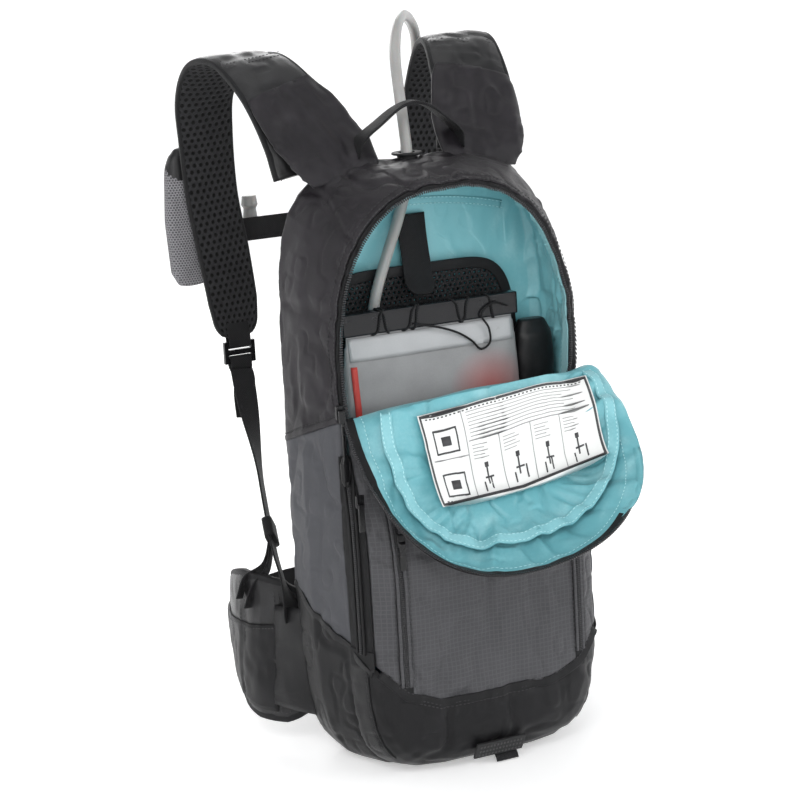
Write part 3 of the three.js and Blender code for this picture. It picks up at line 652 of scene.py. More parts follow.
# ---------------------------------------------------------------- camera and light
AIM = Vector((-0.02888, 0.01001, 0.287))
CAMERA_FAR, CAMERA_LENS = 1.91996, 108.0
TURN, LIFT, ROLL = (math.radians(d) for d in (-25.73, 12.74, 3.24))
toward = Vector((math.sin(TURN) * math.cos(LIFT), -math.cos(TURN) * math.cos(LIFT), math.sin(LIFT)))
right = Vector((math.cos(TURN), math.sin(TURN), 0))
upward = toward.cross(right)
lens = bpy.data.cameras.new("camera")
lens.lens, lens.sensor_width = CAMERA_LENS, 36.0
lens.clip_start, lens.clip_end = 0.05, 50.0
camera = make_object("camera", lens)
cam_x = math.cos(ROLL) * right - math.sin(ROLL) * upward
cam_y = math.sin(ROLL) * right + math.cos(ROLL) * upward
spin = Matrix((cam_x, cam_y, toward)).transposed().to_4x4()
camera.matrix_world = Matrix.Translation(AIM + toward * CAMERA_FAR) @ spin
bpy.context.scene.camera = camera


def lamp(name, place, size, power, tint=(1, 1, 1)):
    data = bpy.data.lights.new(name, "AREA")
    data.shape, data.size, data.size_y = "RECTANGLE", size[0], size[1]
    data.energy, data.color = power, tint
    obj = make_object(name, data)
    obj.location = place
    obj.rotation_mode = "QUATERNION"
    obj.rotation_quaternion = (Vector(place) - Vector((0, 0, 0.28))).to_track_quat("Z", "Y")
    return obj


lamp("key", (-1.3, -1.5, 1.9), (1.3, 1.0), 17)
lamp("fill", (1.7, -1.4, 1.0), (1.2, 1.0), 10, (0.96, 0.98, 1.0))
lamp("front", (-0.5, -2.4, 0.75), (0.7, 0.6), 8)
lamp("top", (0.1, 0.3, 2.3), (1.6, 1.6), 9)
lamp("rear", (0.4, 2.1, 1.2), (1.4, 1.0), 13)
world = bpy.data.worlds.new("studio")
world.use_nodes = True
world.node_tree.nodes["Background"].inputs[0].default_value = (0.97, 0.98, 1.0, 1)
world.node_tree.nodes["Background"].inputs[1].default_value = 0.25
bpy.context.scene.world = world
bpy.context.scene.view_settings.view_transform = "Standard"

SWEEP = ((0.0, 0.0), (2.6, 0.0), (3.4, 0.0), (4.0, 0.06), (4.5, 0.3), (4.85, 0.8), (5.0, 1.5), (5.0, 4.5))
FLOOR_SIDES, FLOOR_DROP = 64, 0.0003
floor_points, floor_faces = [], []
for radius, height in SWEEP:
    for i in range(FLOOR_SIDES):
        a = 2 * math.pi * i / FLOOR_SIDES
        floor_points.append((max(radius, 0.01) * math.cos(a), max(radius, 0.01) * math.sin(a),
                             height - FLOOR_DROP))
for r in range(len(SWEEP) - 1):
    for i in range(FLOOR_SIDES):
        j = (i + 1) % FLOOR_SIDES
        floor_faces.append((r * FLOOR_SIDES + i, r * FLOOR_SIDES + j, (r + 1) * FLOOR_SIDES + j,
                            (r + 1) * FLOOR_SIDES + i))
floor_faces.append(tuple(range(FLOOR_SIDES)))
floor_mesh = bpy.data.meshes.new("floor")
floor_mesh.from_pydata(floor_points, [], floor_faces)
floor_mesh.polygons.foreach_set("use_smooth", np.ones(len(floor_faces), bool))
floor = make_object("floor", floor_mesh)
floor_paint = bpy.data.materials.new("floor")
floor_paint.use_nodes = True
for socket, value in (("Base Color", (0.93, 0.93, 0.93, 1)), ("Roughness", 0.8),
                      ("Emission Color", (1, 1, 1, 1)), ("Emission Strength", 0.36)):
    floor_paint.node_tree.nodes["Principled BSDF"].inputs[socket].default_value = value
floor_mesh.materials.append(floor_paint)

# ---------------------------------------------------------------- the bag's outer panels
for name, node, finish, voxel in (
    ("upper_shell", "shell_upper", "nylon", 1.8), ("pocket_front", "front_pocket_panel", "ripstop", 1.6),
    ("side_left", "side_panel_left", "panel", 1.7), ("side_right", "side_panel_right", "panel", 1.7),
    ("corner_left", "corner_panel_left", "ripstop", 1.4), ("corner_right", "corner_panel_right", "ripstop",
                                                           1.4),
    ("base_boot", "base_shell", "boot", 1.8), ("back_cloth", "back_panel", "nylon", 2.2),
    ("divider_cloth", "pocket_divider", "lining", 1.2),
):
    mesh = remeshed(node, voxel)
    piece(name, bent(mesh, sag), "root", finish, [node])


def lining_sag(points):
    """The loose lining follows the bag and wrinkles inwards."""
    p = np.asarray(points, float)
    inward = unit(np.array((0, -40, 250)) - p) * (1, 0.6, 0.8)
    turn = 0.5 * noise(p / 26, 95)[:, None]
    wrinkle = ease(1 - np.abs(noise(p / (24, 18, 34) + turn, 91)), 0.68,
                   1) * 3.8 + 1.5 * ease(noise(p / (11, 11, 15), 93), -0.2, 1)
    return sag(p) + inward * (wrinkle * ease(p[:, 1], -78, -66) * ease(p[:, 2], 8, 30))[:, None]


# the inner lining takes the lighter copy of the lining, painted light for the inside of the bag
lining_bag = piece("lining_bag", bent(remeshed("main_lining", 1.0), lining_sag), "root", "lining_painted_lighter",
                   ["main_lining"])
lining_skin = to_local(coords(lining_bag.data))
lining_skin = lining_skin[lining_skin[:, 1] > -25]


def on_lining(x, z, lift):
    """The lining's back wall at a place across it, from the inside."""
    near = lining_skin[np.hypot(lining_skin[:, 0] - x, lining_skin[:, 2] - z) < 3, 1]
    return x, (near.min() if len(near) else -4.0) - lift, z


# ---------------------------------------------------------------- seams and stitching on the bag
MAIN_SECTIONS = np.array((
    (0, 112, 474, 6, 300, 5, 7), (-9, 121, 479, -3, 300, 4.2, 7), (-40, 121, 477, -4, 305, 3.1, 7),
    (-68, 111, 471, -3, 322, 2.5, 6.5), (-79, 106, 467, 3, 330, 2.3, 6),
), float)
POCKET_SECTIONS = np.array((
    (-79, 107, 284, 0, 150, 6, 5.2), (-84, 106, 268, 0, 150, 6, 5), (-92, 104.5, 254, 1, 150, 6, 4.8),
    (-100, 102, 240, 4, 150, 5.5, 4.6), (-108, 96, 223, 9, 145, 5, 4.5), (-114, 87, 204, 17, 140, 4.5, 4.2),
    (-118, 73, 186, 30, 130, 4, 4), (-120, 50, 166, 60, 120, 3.5, 3.5),
), float)


HALVINGS = 18  # of the search for a depth, which brings it to under a thousandth of a millimetre


def section_at(table, y):
    return np.array([np.interp(-y, -table[:, 0], table[:, k]) for k in range(table.shape[1])])


def outline_at(table, y, z):
    """A section's half width and middle at a depth, and its reach and power above or below that middle."""
    _, half, top, bottom, middle, above, below = section_at(table, y)
    reach, power = (top - middle, above) if z > middle else (middle - bottom, below)
    return half, middle, reach, power


def half_width(y, z):
    """The bag's half width at a depth and a height."""
    wide = 0.0
    for table in (MAIN_SECTIONS, POCKET_SECTIONS):
        if table[-1, 0] <= y <= table[0, 0]:
            half, middle, reach, power = outline_at(table, y, z)
            share = abs(z - middle) / reach
            if share < 1:
                wide = max(wide, half * (1 - share ** power) ** (1 / power))
    return wide


def front_y(x, z):
    """The depth of the front pocket's face at a place across it."""
    low, high = -120.0, -79.0
    for _ in range(HALVINGS):
        y = (low + high) / 2
        if half_width(y, z) > abs(x):
            high = y
        else:
            low = y
    return high


def on_side(side, y, z, lift=0.5):
    return (side * (half_width(y, z) + lift), y, z)


def on_front(x, z, lift=0.5):
    return (x, front_y(x, z) - lift, z)


def arch_line(inset, floor=FOLD_Z, y=-79.0, step=3.0, half=ARCH_HALF, rise=ARCH_RISE):
    half, rise = half - inset, rise - inset
    start = math.asin(((ARCH_MIDDLE - floor) / rise) ** (ARCH_POWER / 2))
    angle = np.linspace(-start, math.pi + start, 160)
    line = np.stack([half * bend(np.cos(angle), ARCH_POWER), np.full(160, y),
                     ARCH_MIDDLE + rise * bend(np.sin(angle), ARCH_POWER)], 1)
    return resample(line, step)


def main_y(x, z):
    """The depth of the main body's face at a place across it, on its rounded shoulder."""
    low, high = -79.0, -12.0
    for _ in range(HALVINGS):
        y = (low + high) / 2
        half, middle, reach, power = outline_at(MAIN_SECTIONS, y, z)
        inside = (abs(x) / half) ** power + (abs(z - middle) / reach) ** power < 1
        low, high = (low, y) if inside else (y, high)
    return low


def shoulder_line(inset, lift=0.4):
    return np.array([(x, main_y(x, z) - lift, z) for x, _, z in arch_line(inset, FOLD_Z - 2)])


threads, zip_folds, front_folds, zip_teeth = [], [], [], []
for side in (-1, 1):
    for seam, low, high, lifts in ((lambda y: SEAM_BACK - SEAM_RISE * y, -76, -3, (2.2, 4.6)),
                                   (lambda y: BOOT_BACK + BOOT_DROP * y, -98, -3, (-2.2, -4.6, 2.2))):
        for lift in lifts:
            line = np.array([on_side(side, y, seam(y) + lift, 0.35) for y in np.linspace(low, high, 40)])
            threads.append(stitched(sag(line), (side, 0, 0)))
BOOT_FRONT = ((-97, 93), (-78, 73), (-50, 62), (50, 62), (78, 73), (97, 93))
for lift in (-2.4, -5.0, 2.2):
    line = resample(np.array([(x * 0.99, 0, z + lift) for x, z in BOOT_FRONT]), 4)
    line = np.array([on_front(x, z, 0.4) for x, _, z in line])
    threads.append(stitched(sag(line), (0, -1, 0)))
for inset in (-1.6, -4.2):
    threads.append(stitched(sag(shoulder_line(inset)), (0, -1, 0)))


def seam_band(places, out, wide, thick=1.2):
    """A folded seam allowance lying over the edges of two panels, along places with that outward direction."""
    line = sag(resample(np.array(places), 3))
    ahead = tangents(line)
    out = unit(np.array(out) - ahead * (ahead @ np.array(out))[:, None])
    return grid_mesh(swept(line, np.cross(out, ahead), out, rounded_profile(wide, thick)))


nylon_bands, boot_bands = [], []
for side in (-1, 1):
    ys = np.linspace(-79, -2, 30)
    nylon_bands.append(seam_band([on_side(side, y, SEAM_BACK - SEAM_RISE * y + 0.5, 0.2) for y in ys],
                                 (side, 0, 0), 4.5))
    ys = np.linspace(-102, -2, 34)
    boot_bands.append(seam_band([on_side(side, y, BOOT_BACK + BOOT_DROP * y - 1.2, 0.2) for y in ys],
                                (side, 0, 0), 6.5))
    boot_bands.append(seam_band([on_side(side, -97, z, 0.1) for z in np.linspace(92, 16, 24)], (side, -0.8, 0),
                                1.5))
    threads.append(stitched(sag([on_side(side, -95, z, 0.4) for z in np.linspace(90, 18, 24)]),
                            (side, -0.5, 0)))
front_seam = resample(np.array([(x, 0, z - 1.2) for x, z in BOOT_FRONT]), 3)
boot_bands.append(seam_band([on_front(x, z, 0.3) for x, _, z in front_seam], (0, -1, 0), 7.5))
piece("upper_seam_band", joined(nylon_bands), "root", "nylon")
piece("base_seam_band", joined(boot_bands), "root", "boot")

# ---------------------------------------------------------------- zips on the bag
for node, name, finish in (("main_zip_body", "main_zip_tape", "zip_tape"),
                           ("side_zip_left", "side_zip_tape", "zip_tape"),
                           ("front_zip_left", "front_zip_tape_left", "ripstop"),
                           ("front_zip_right", "front_zip_tape_right", "ripstop")):
    piece(name, bent(remeshed(node, 1.0), sag), "root", finish, [node])
teeth = arch_line(4.2, FOLD_Z + 2, -79.6)
zip_teeth.append(toothed(sag(teeth), (0, -1, 0), 3.6, 1.9, 2.2))


def zip_frame(x0, x1, z):
    """The middle of a zip's band at a height, its direction across and its width, along the curved face."""
    arc = np.array([on_front(x, z, 0.0) for x in np.linspace(x0, x1, 24)])
    run = run_along(arc)
    at = np.array([np.interp(run[-1] * share, run, arc[:, k]) for share in (0.35, 0.5,
                                                                            0.65) for k in range(3)]).reshape(3,
                                                                                                              3)
    return at[1], at[2] - at[0], run[-1]


for x0, x1, low, high in ((-98.8, -107.0, 106, 260), (-74.2, -81.8, 80, 230), (74.2, 81.8, 80, 230)):
    frames = [zip_frame(x0, x1, z) for z in np.linspace(low, high, 50)]
    line = sag(np.array([f[0] for f in frames]))
    side = unit(np.array([f[1] for f in frames]))
    width = np.array([f[2] for f in frames])[:, None]
    out = unit(np.cross(tangents(line), side))
    out *= np.sign(-out[:, 1] + 1e-9)[:, None]
    zip_teeth.append(toothed(line + out * 0.7, out, 4.2, 1.6, 1.5))
    for edge in (-1, 1):
        fold = line + side * edge * np.minimum(width * 0.42, 4.4) + out * 0.5
        folds = front_folds if abs(x0) < 90 else zip_folds
        folds.append(grid_mesh(swept(fold, side, out, rounded_profile(2.6, 1.6))))
        near = line + side * edge * (width / 2 + 2.2) + out * 0.2
        if width.mean() < 12:
            threads.append(stitched(near, out))
    foot = resample(np.vstack([line[:1] - (0, 0, 13), line[:2]]), 2)
    zip_folds.append(grid_mesh(swept(foot - out[0] * 0.6, np.tile(side[0], (len(foot), 1)),
                                     np.tile(out[0], (len(foot), 1)),
                                     rounded_profile(width[0, 0] + 2, 1.0))))
piece("zip_folds", joined(zip_folds), "root", "zip_tape")
piece("front_zip_folds", joined(front_folds), "root", "ripstop")


def outline_arc(y, inset, low, high, count=150):
    """Places on the main body's outline at a depth, from one angle to another, in degrees."""
    _, half, top, bottom, middle, above, below = section_at(MAIN_SECTIONS, y)
    angle = np.radians(np.linspace(low, high, count))
    up = np.sin(angle) > 0
    power = np.where(up, above, below)
    reach = np.where(up, top - inset - middle, middle - bottom - inset)
    return np.stack([(half - inset) * bend(np.cos(angle), power), np.full(count, y),
                     middle + reach * bend(np.sin(angle), power)], 1)


facing_rows, facing_inner = [], []
for y in np.linspace(-75.6, -56, 9):
    facing_rows.append(lining_sag(outline_arc(y, 6.4, -14, 194)))
    facing_inner.append(lining_sag(outline_arc(y, 7.4, -14, 194)))
facing = np.array(facing_rows + facing_inner[::-1]).transpose(1, 0, 2)
piece("mouth_facing", grid_mesh(facing), "root", "facing")
edge_rows = []
for y in (-73.5, -58.5):
    line = lining_sag(outline_arc(y, 7.7, -12, 192))
    edge_rows.append(stitched(line, unit(np.array((0, y, 300)) - line)))
seam = np.array([on_lining(x, 441 - 0.0016 * x * x, 0.4) for x in np.linspace(-84, 84, 60)])
back = np.tile((0.0, -1.0, 0.0), (len(seam), 1))
piece("lining_seam_band", grid_mesh(swept(seam, np.cross(back, tangents(seam)), back, rounded_profile(7, 1.0))),
      "root", "hem")
edge_rows += [stitched(seam + (0, -0.9, lift), back) for lift in (-2.4, 2.4)]
piece("facing_stitches", joined(edge_rows), "root", "stitch_teal")
piece("zip_coils", joined(zip_teeth), "root", "coil")
piece("seam_stitches", joined(threads), "root", "stitch")

# ---------------------------------------------------------------- the open flap
FLAP_FOOT, FLAP_TOP, FLAP_MIDDLE = 2.0, 168.0, 39.0
FLAP_LEFT, FLAP_RIGHT = 103.0, 113.0
FLAP_ANGLES = (137.0, 119.0)  # how far the left and the right side hang open, from closed
FLAP_HUB = np.array((6.0, 62.0))


def flap_share(x, h):
    """How far out a place is on the flap: 0 in the middle, 1 on the zip."""
    half = np.where(x > 0, FLAP_RIGHT, FLAP_LEFT)
    reach = FLAP_TOP - FLAP_MIDDLE
    low = np.where(h > FLAP_MIDDLE, (h - FLAP_MIDDLE) / reach, 0)
    return (np.abs(x / half) ** ARCH_POWER + low ** ARCH_POWER) ** (1 / ARCH_POWER)


def flap_away(x, h):
    """Direction of a place from the flap's middle, in radians: 0 to the right, and growing towards the free end."""
    return np.arctan2(h - FLAP_HUB[1], x - FLAP_HUB[0])


def flap_slack(x, h):
    """Where the flap's lining is slack: 1 along its right edge, 0 elsewhere."""
    away = flap_away(x, h)
    return ease(away, -0.8, -0.4) * (1 - ease(away, 0.75, 1.1))


def flap_deep(x, h):
    """Depth of the flap's lining below its zip: it humps up over the fold, then hangs as a shallow tray."""
    r = np.clip(flap_share(x, h), 0, 1.1)
    hump = 25 * (np.maximum(h, 0) / 17) * np.exp(1 - np.maximum(h, 0) / 17) * (1 - np.clip(np.abs(x - 8) / 112,
                                                                                           0, 1) ** 3.5)
    tray = 19 * (1 - r ** 6) * ease(h, 40, 92)
    return tray - hump - 6 * flap_slack(x, h) * np.exp(-((r - 0.88) / 0.13) ** 2)


def flap_wave(x, h, seed, gather=1.0):
    p = np.stack([x, h, np.zeros_like(x)], 1)
    r = flap_share(x, h)
    inner = 1 - np.clip(r, 0, 1) ** 10
    slow = 3.0 * noise(p / (36, 26, 1), seed) * (1 - np.clip(r, 0, 1) ** 8)
    away = flap_away(x, h)
    polar = np.stack([away * 9.0, r * 2.2, np.zeros_like(x)], 1)
    radial = 3.6 * noise(polar, seed + 1) * ease(r, 0.45, 0.75) + 1.6 * noise(polar * (2.3, 1.4, 1),
                                                                              seed + 5) * ease(r, 0.5, 0.8)
    if gather > 1:
        radial = radial - 1.6 * (np.exp(-((x + 30) / 3) ** 2) + np.exp(-((x - 74) / 3) ** 2)) * ease(h, 92, 122)
    sharp = -2.2 * ease(1 - np.abs(noise(p / (19, 30, 1) + 0.3 * noise(p / 9, seed + 7)[:, None], seed + 2)),
                        0.7, 1)
    side_folds = 2.6 * ease(x, 50, 95) * np.sin(h / 6.5 + 2.5 * noise(p / 30, seed + 3)) * inner
    return slow + (radial * gather + sharp) * ease(h, 4, 22) * inner + side_folds


def flap_place(x, h, lift=0.0, deep=None, roll=0.0):
    """A place on the open flap, raised by `lift` from the lining towards its inside."""
    x, h = np.asarray(x, float), np.asarray(h, float)
    deep = flap_deep(x, h) if deep is None else deep
    share = np.clip((x + FLAP_LEFT) / (FLAP_LEFT + FLAP_RIGHT), 0, 1)
    angle = np.radians(FLAP_ANGLES[0] + (FLAP_ANGLES[1] - FLAP_ANGLES[0]) * share)
    r = flap_share(x, h)
    over = roll * flap_slack(x, h) * (ease(r, 0.8, 0.93) - ease(r, 0.965, 0.99))
    v = 2.5 - deep + lift + 4.5 * over
    away = flap_away(x, h)
    lean, h = x + 0.01 * h + 8.0 * over * np.cos(away), h + 8.0 * over * np.sin(away)
    return np.stack([lean, FOLD_Y + v * np.cos(angle) - h * np.sin(angle),
                     FOLD_Z + v * np.sin(angle) + h * np.cos(angle)], -1)


def flap_rim(inset=0.0, foot=FLAP_FOOT, count=150):
    """The flap's arch in its own plane, [x, height above the fold], from the right foot to the left; inset may be
    one step in from the zip, or one each for the right, the left and the free end."""
    in_right, in_left, in_end = np.broadcast_to(inset, 3)
    start = math.asin(((FLAP_MIDDLE - foot) / (FLAP_TOP - FLAP_MIDDLE)) ** (ARCH_POWER / 2))
    angle = np.linspace(-start, math.pi + start, count)
    c = bend(np.cos(angle), ARCH_POWER)
    x = np.where(c > 0, (FLAP_RIGHT - in_right) * c, (FLAP_LEFT - in_left) * c)
    return np.stack([x, FLAP_MIDDLE + (FLAP_TOP - FLAP_MIDDLE - in_end) * bend(np.sin(angle), ARCH_POWER)], 1)


def flap_loop(inset, foot):
    arch = flap_rim(inset, foot)
    floor_line = np.linspace(arch[-1], arch[0], 62)[1:-1]
    return np.vstack([arch, floor_line])


def flap_disc(inset, foot, upper, lower, rings=56, seed=21, gather=1.0, roll=0.0):
    """A closed sheet over the flap's face between two lifts, given as functions of the share of the way out."""
    loop = flap_loop(inset, foot)
    shares = np.linspace(0.03, 1, rings) ** 0.8
    rows = []
    for lift, order in ((upper, shares), (lower, shares[::-1])):
        for s in order:
            flat = FLAP_HUB + s * (loop - FLAP_HUB)
            x, h = flat.T
            rows.append(flap_place(x, h, lift(s) + flap_wave(x, h, seed, gather), roll=roll))
    return squared(grid_mesh(np.array(rows)))


def flap_piece(name, mesh, finish, replaces=(), **more):
    obj = piece(name, mesh, "flap", finish, replaces, **more)
    anchor = to_world((0, FOLD_Y, FOLD_Z))[0]
    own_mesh(obj)
    return obj


flap_piece("flap_shell_cloth", flap_disc((5.5, 0.5, 0.5), 1.5, lambda s: -2.6,
                                         lambda s: -4.0 - 2.4 * (1 - s ** 4)), "nylon", ["flap_shell"])
flap_piece("flap_lining_cloth", flap_disc((1.0, 2.0, 2.0), 2.5, lambda s: 0.9 * s ** 8, lambda s: -1.3,
                                          roll=1.0), "lining",
           ["flap_lining"])
POCKET_INSET = (13, 20, 37)
pocket_lift = lambda s: 2.6 + 5.0 * s ** 3
flap_piece("flap_pocket_cloth", flap_disc(POCKET_INSET, 9, pocket_lift, lambda s: pocket_lift(s) - 0.9,
                                          gather=1.9),
           "lining", ["flap_pocket"])


def flap_line(inset, lift, foot=FLAP_FOOT, wave=1.0, seed=21, gather=1.0):
    flat = flap_rim(inset, foot)
    x, h = flat.T
    lift = lift(x, h) if callable(lift) else lift
    return flap_place(x, h, lift + wave * flap_wave(x, h, seed, gather))


def flap_frame(inset, lift, soft=0, **more):
    """A line round the flap with its inward side and its upward direction; soft rounds its kinks off."""
    line, inner = flap_line(inset, lift, **more), flap_line(np.add(inset, 4), lift, **more)
    for _ in range(soft):
        for way in (line, inner):
            way[1:-1] = way[1:-1] / 2 + (way[:-2] + way[2:]) / 4
    side = unit(inner - line)
    ahead = tangents(line)
    side = unit(side - ahead * (side * ahead).sum(1)[:, None])
    out = np.cross(ahead, side)
    return line, side, out * np.sign(out[:, 2].mean())


line, side, out = flap_frame((5.5, 0.8, 0.8), lambda x, h: 1.0 - 3.2 * flap_slack(x, h))
tape = grid_mesh(swept(line, side, out, rounded_profile(6.5, 1.5)))
line, side, out = flap_frame(POCKET_INSET, 7.9, gather=1.9, foot=9, soft=3)
hem = grid_mesh(swept(line, side, out, rounded_profile(9.5, 2.4)))
flap_piece("flap_zip_tape", tape, "zip_tape", ["flap_zip"])
flap_piece("flap_pocket_hem", hem, "hem")
flap_piece("flap_hem_stitches", joined([stitched(line + side * 3.4 + out * 1.3, out),
                                        stitched(line - side * 3.4 + out * 1.3, out)]),
           "stitch_teal")
line, side, out = flap_frame((2.8, -2.6, -2.6), lambda x, h: 1.2 - 3.4 * flap_slack(x, h))
flap_piece("flap_zip_coil", toothed(line, out, 3.6, 1.9, 2.2), "coil")
line, side, out = flap_frame(8.5, 1.6)
flap_piece("flap_edge_stitches", stitched(line, out), "stitch_teal")

# the care label, with plain rules and generic figures in place of its print
LABEL_WIDE, LABEL_TALL, LABEL_AT, LABEL_TURN = 146.0, 64.0, (15.0, 59.0), math.radians(-1)


def on_label(u, v, lift):
    """A place on the label, from its middle, in millimetres."""
    u = u * (1 + 0.0014 * v)
    x = LABEL_AT[0] + u * math.cos(LABEL_TURN) - v * math.sin(LABEL_TURN)
    h = LABEL_AT[1] + u * math.sin(LABEL_TURN) - v * math.cos(LABEL_TURN)
    curl = 3.6 * (np.abs(u) / 73) ** 4 + 2.0 * np.sin(u / 21 + v / 31) + 0.9 * np.sin(u / 10 - v / 14)
    return flap_place(x, h, lift + 9.0 + curl + 0.3 * flap_wave(x, h, 21, 0.3))


def label_patch(u0, u1, v0, v1, lift, thick, step=2.5):
    us, vs = np.linspace(u0, u1, max(2, int((u1 - u0) / step))), np.linspace(v0, v1,
                                                                             max(2, int((v1 - v0) / step)))
    rows = []
    for v in vs:
        top = on_label(us, np.full(len(us), v), lift)
        rows.append(np.vstack([top, on_label(us[::-1], np.full(len(us), v), lift - thick)]))
    return squared(grid_mesh(np.array(rows)))


label = label_patch(-LABEL_WIDE / 2, LABEL_WIDE / 2, -LABEL_TALL / 2, LABEL_TALL / 2, 0, 0.5, 2.5)
label = flap_piece("care_label_cloth", label, "label", ["care_label"])
marks, text = [], []
BORDER = ((-72, 72, 29.6, 31.2), (-72, 72, -31.2, -29.6), (-72, -70.4, -31, 31), (70.4, 72, -31, 31))
RULES = ((-38, -37.4, -29, 29), (-68, -38, 0, 0.5),
         (-36, 68, 8, 8.5), (-11, -10.5, -29, 8), (15, 15.5, -29, 8), (41, 41.5, -29, 8))
for u0, u1, v0, v1 in BORDER:
    marks.append(label_patch(u0, u1, v0, v1, 0.3, 0.4))
for u0, u1, v0, v1 in RULES:
    text.append(label_patch(u0, u1, v0, v1, 0.3, 0.4))
for row in range(8):
    text.append(label_patch(-34, 66 - 9 * (row % 3), 26.5 - 2.3 * row, 26.9 - 2.3 * row, 0.2, 0.25))
for k, column in enumerate((-34, -8, 18, 44)):
    for row in range(5):
        text.append(label_patch(column, column + 13 - 3 * ((row + k) % 2), 5 - 2.0 * row, 5.35 - 2.0 * row, 0.2,
                                0.25))
    lean = 2 * ((k % 2) * 2 - 1)
    for u, v, wide, tall in ((9, -20, 1.2, 11), (5, -25, 1.1, 7), (13 + lean, -24, 1.1, 9), (7, -16, 7, 1.1),
                             (8.2, -9, 3, 3)):
        marks.append(label_patch(column + u, column + u + wide, v, v + tall, 0.3, 0.4))
for row in range(2):
    low = -25 + 29 * row
    for u0, u1, v0, v1 in ((-64, -44, low, low + 1.1), (-64, -44, low + 15, low + 16.1),
                           (-64, -62.9, low, low + 16),
                           (-45.1, -44, low, low + 16), (-58, -50, low + 5, low + 11)):
        marks.append(label_patch(u0, u1, v0, v1, 0.3, 0.4))
for u in np.arange(-67, 68, 3.4):
    for v in (-28.2, 27.4):
        marks.append(label_patch(u, u + 1.5, v + 0.6 * np.sign(v), v + 0.6 * np.sign(v) + 0.8, 0.3, 0.4, 1.0))
flap_piece("care_label_print", joined(marks), "print")
flap_piece("care_label_text", joined(text), "print_grey")

# ---------------------------------------------------------------- padded harness
def mirror(points, side):
    return [(-side * p[0], *p[1:]) for p in points]


def pad_section(half, thick, edge, puff, wave):
    """A foam pad's section, [across, out]: crowned faces that pinch to a bound edge."""
    share = np.linspace(-1, 1, 25)
    crown = (1 - np.abs(share) ** 3.2) ** 0.75
    lower = edge / 2 + (thick / 2 - edge / 2 + puff) * crown
    upper = edge / 2 + (thick / 2 - edge / 2) * crown
    outer = np.stack([share * half, -lower + wave], 1)
    inner = np.stack([share[::-1] * half, upper[::-1]], 1)
    return np.vstack([outer, inner])


def pad_rows(path, across, seed, edge=3.4, puff=0.8, rounded=(0, 0), quilt=None):
    line, place = spline(path, 3.0)
    widths = np.interp(place, np.arange(len(path)), [p[3] for p in path])
    thicks = np.interp(place, np.arange(len(path)), [p[4] for p in path])
    run = run_along(line)
    for end, radius in zip((run, run[-1] - run), rounded):
        if radius:
            t = np.clip(end / radius, 0, 1)
            widths = widths * (0.34 + 0.66 * np.sqrt(np.maximum(1 - (1 - t) ** 2, 0)))
    _, side, out = laid(line, across)
    share = np.linspace(-1, 1, 25)
    sections = []
    for i in range(len(line)):
        spot = np.stack([share * widths[i] / 13, np.full(25, run[i] / 17), np.full(25, 0.0)], 1)
        ridge = np.stack([share * widths[i] / 40, np.full(25, run[i] / 9), np.full(25, 5.0)], 1)
        wave = (0.7 * noise(spot, seed) - 1.0 * ease(1 - np.abs(noise(ridge, seed + 4)), 0.7,
                                                     1)) * -1 * (1 - share ** 4)
        if quilt:
            wave = wave + quilt(run[i], share)
        sections.append(pad_section(widths[i] / 2, thicks[i], edge, puff, wave))
    return line, side, out, widths, swept(line, side, out, np.array(sections))


def pad_faces(rows, mesh):
    """1 for the faces on the wearer's side, which are netting, and 0 for the rest."""
    n, k = rows.shape[:2]
    kind = [1 if 25 <= j < 49 else 0 for i in range(n - 1) for j in range(k)]
    return kind + [0] * (len(mesh.polygons) - len(kind))


def edge_stitches(line, side, out, widths, inset, lift):
    """Stitches just inside both edges of a pad, on both of its faces."""
    rows = []
    for s in (-1, 1):
        for face in (-1, 1):
            edge = line + side * (s * (widths / 2 - inset))[:, None] + out * (face * lift)
            rows.append(stitched(edge, out * face, 4.0))
    return rows


def bound_edge(line, side, out, widths, sign, wide=9.0, thick=5.0):
    centre = line + side * (sign * (widths / 2 - wide * 0.36))[:, None]
    return grid_mesh(swept(centre, side, out, rounded_profile(wide, thick, 1.6)))


PAD_PATH = ((-73, 6, 474, 74, 9), (-77, 15, 497, 71, 9), (-86, 42, 534, 66, 9), (-97, 82, 558, 60, 9),
            (-105, 120, 553, 54, 9),
            (-107, 148, 526, 49, 9), (-104, 160, 490, 46, 9), (-101, 163, 440, 44, 9), (-95, 161, 392, 44, 9),
            (-91, 158, 350, 42, 9), (-90, 155, 318, 34, 7))
WEB_PATH = ((-91, 149, 292), (-100, 110, 240), (-112, 64, 188), (-120, 32, 160), (-123, 15, 147),
            (-123, 4.5, 132), (-121, 2.4, 112))
WING_PATH = ((-108, 13, 80, 104, 9), (-121, 20, 80, 120, 9), (-134, 39, 82, 124, 9), (-138, 62, 85, 118, 9),
             (-133, 92, 86, 96, 9),
             (-122, 122, 86, 70, 9), (-107, 147, 84, 46, 8), (-100, 155, 84, 40, 6))
BELT_PATH = ((-108, 151, 84), (-97, 159, 84), (-84, 170, 84), (-62, 181, 84), (-40, 186, 84), (-7, 186.1, 84))


TAILS = (((-127, 40, 150), (-140, 50, 138), (-146.5, 52, 122)),
         ((-126, 36, 148), (-138, 40, 132), (-144, 42, 116)))


def seam_dip(at, depth=1.3, wide=5.0):
    return lambda run, share: depth * np.exp(-((run - at) / wide) ** 2) * np.ones_like(share)


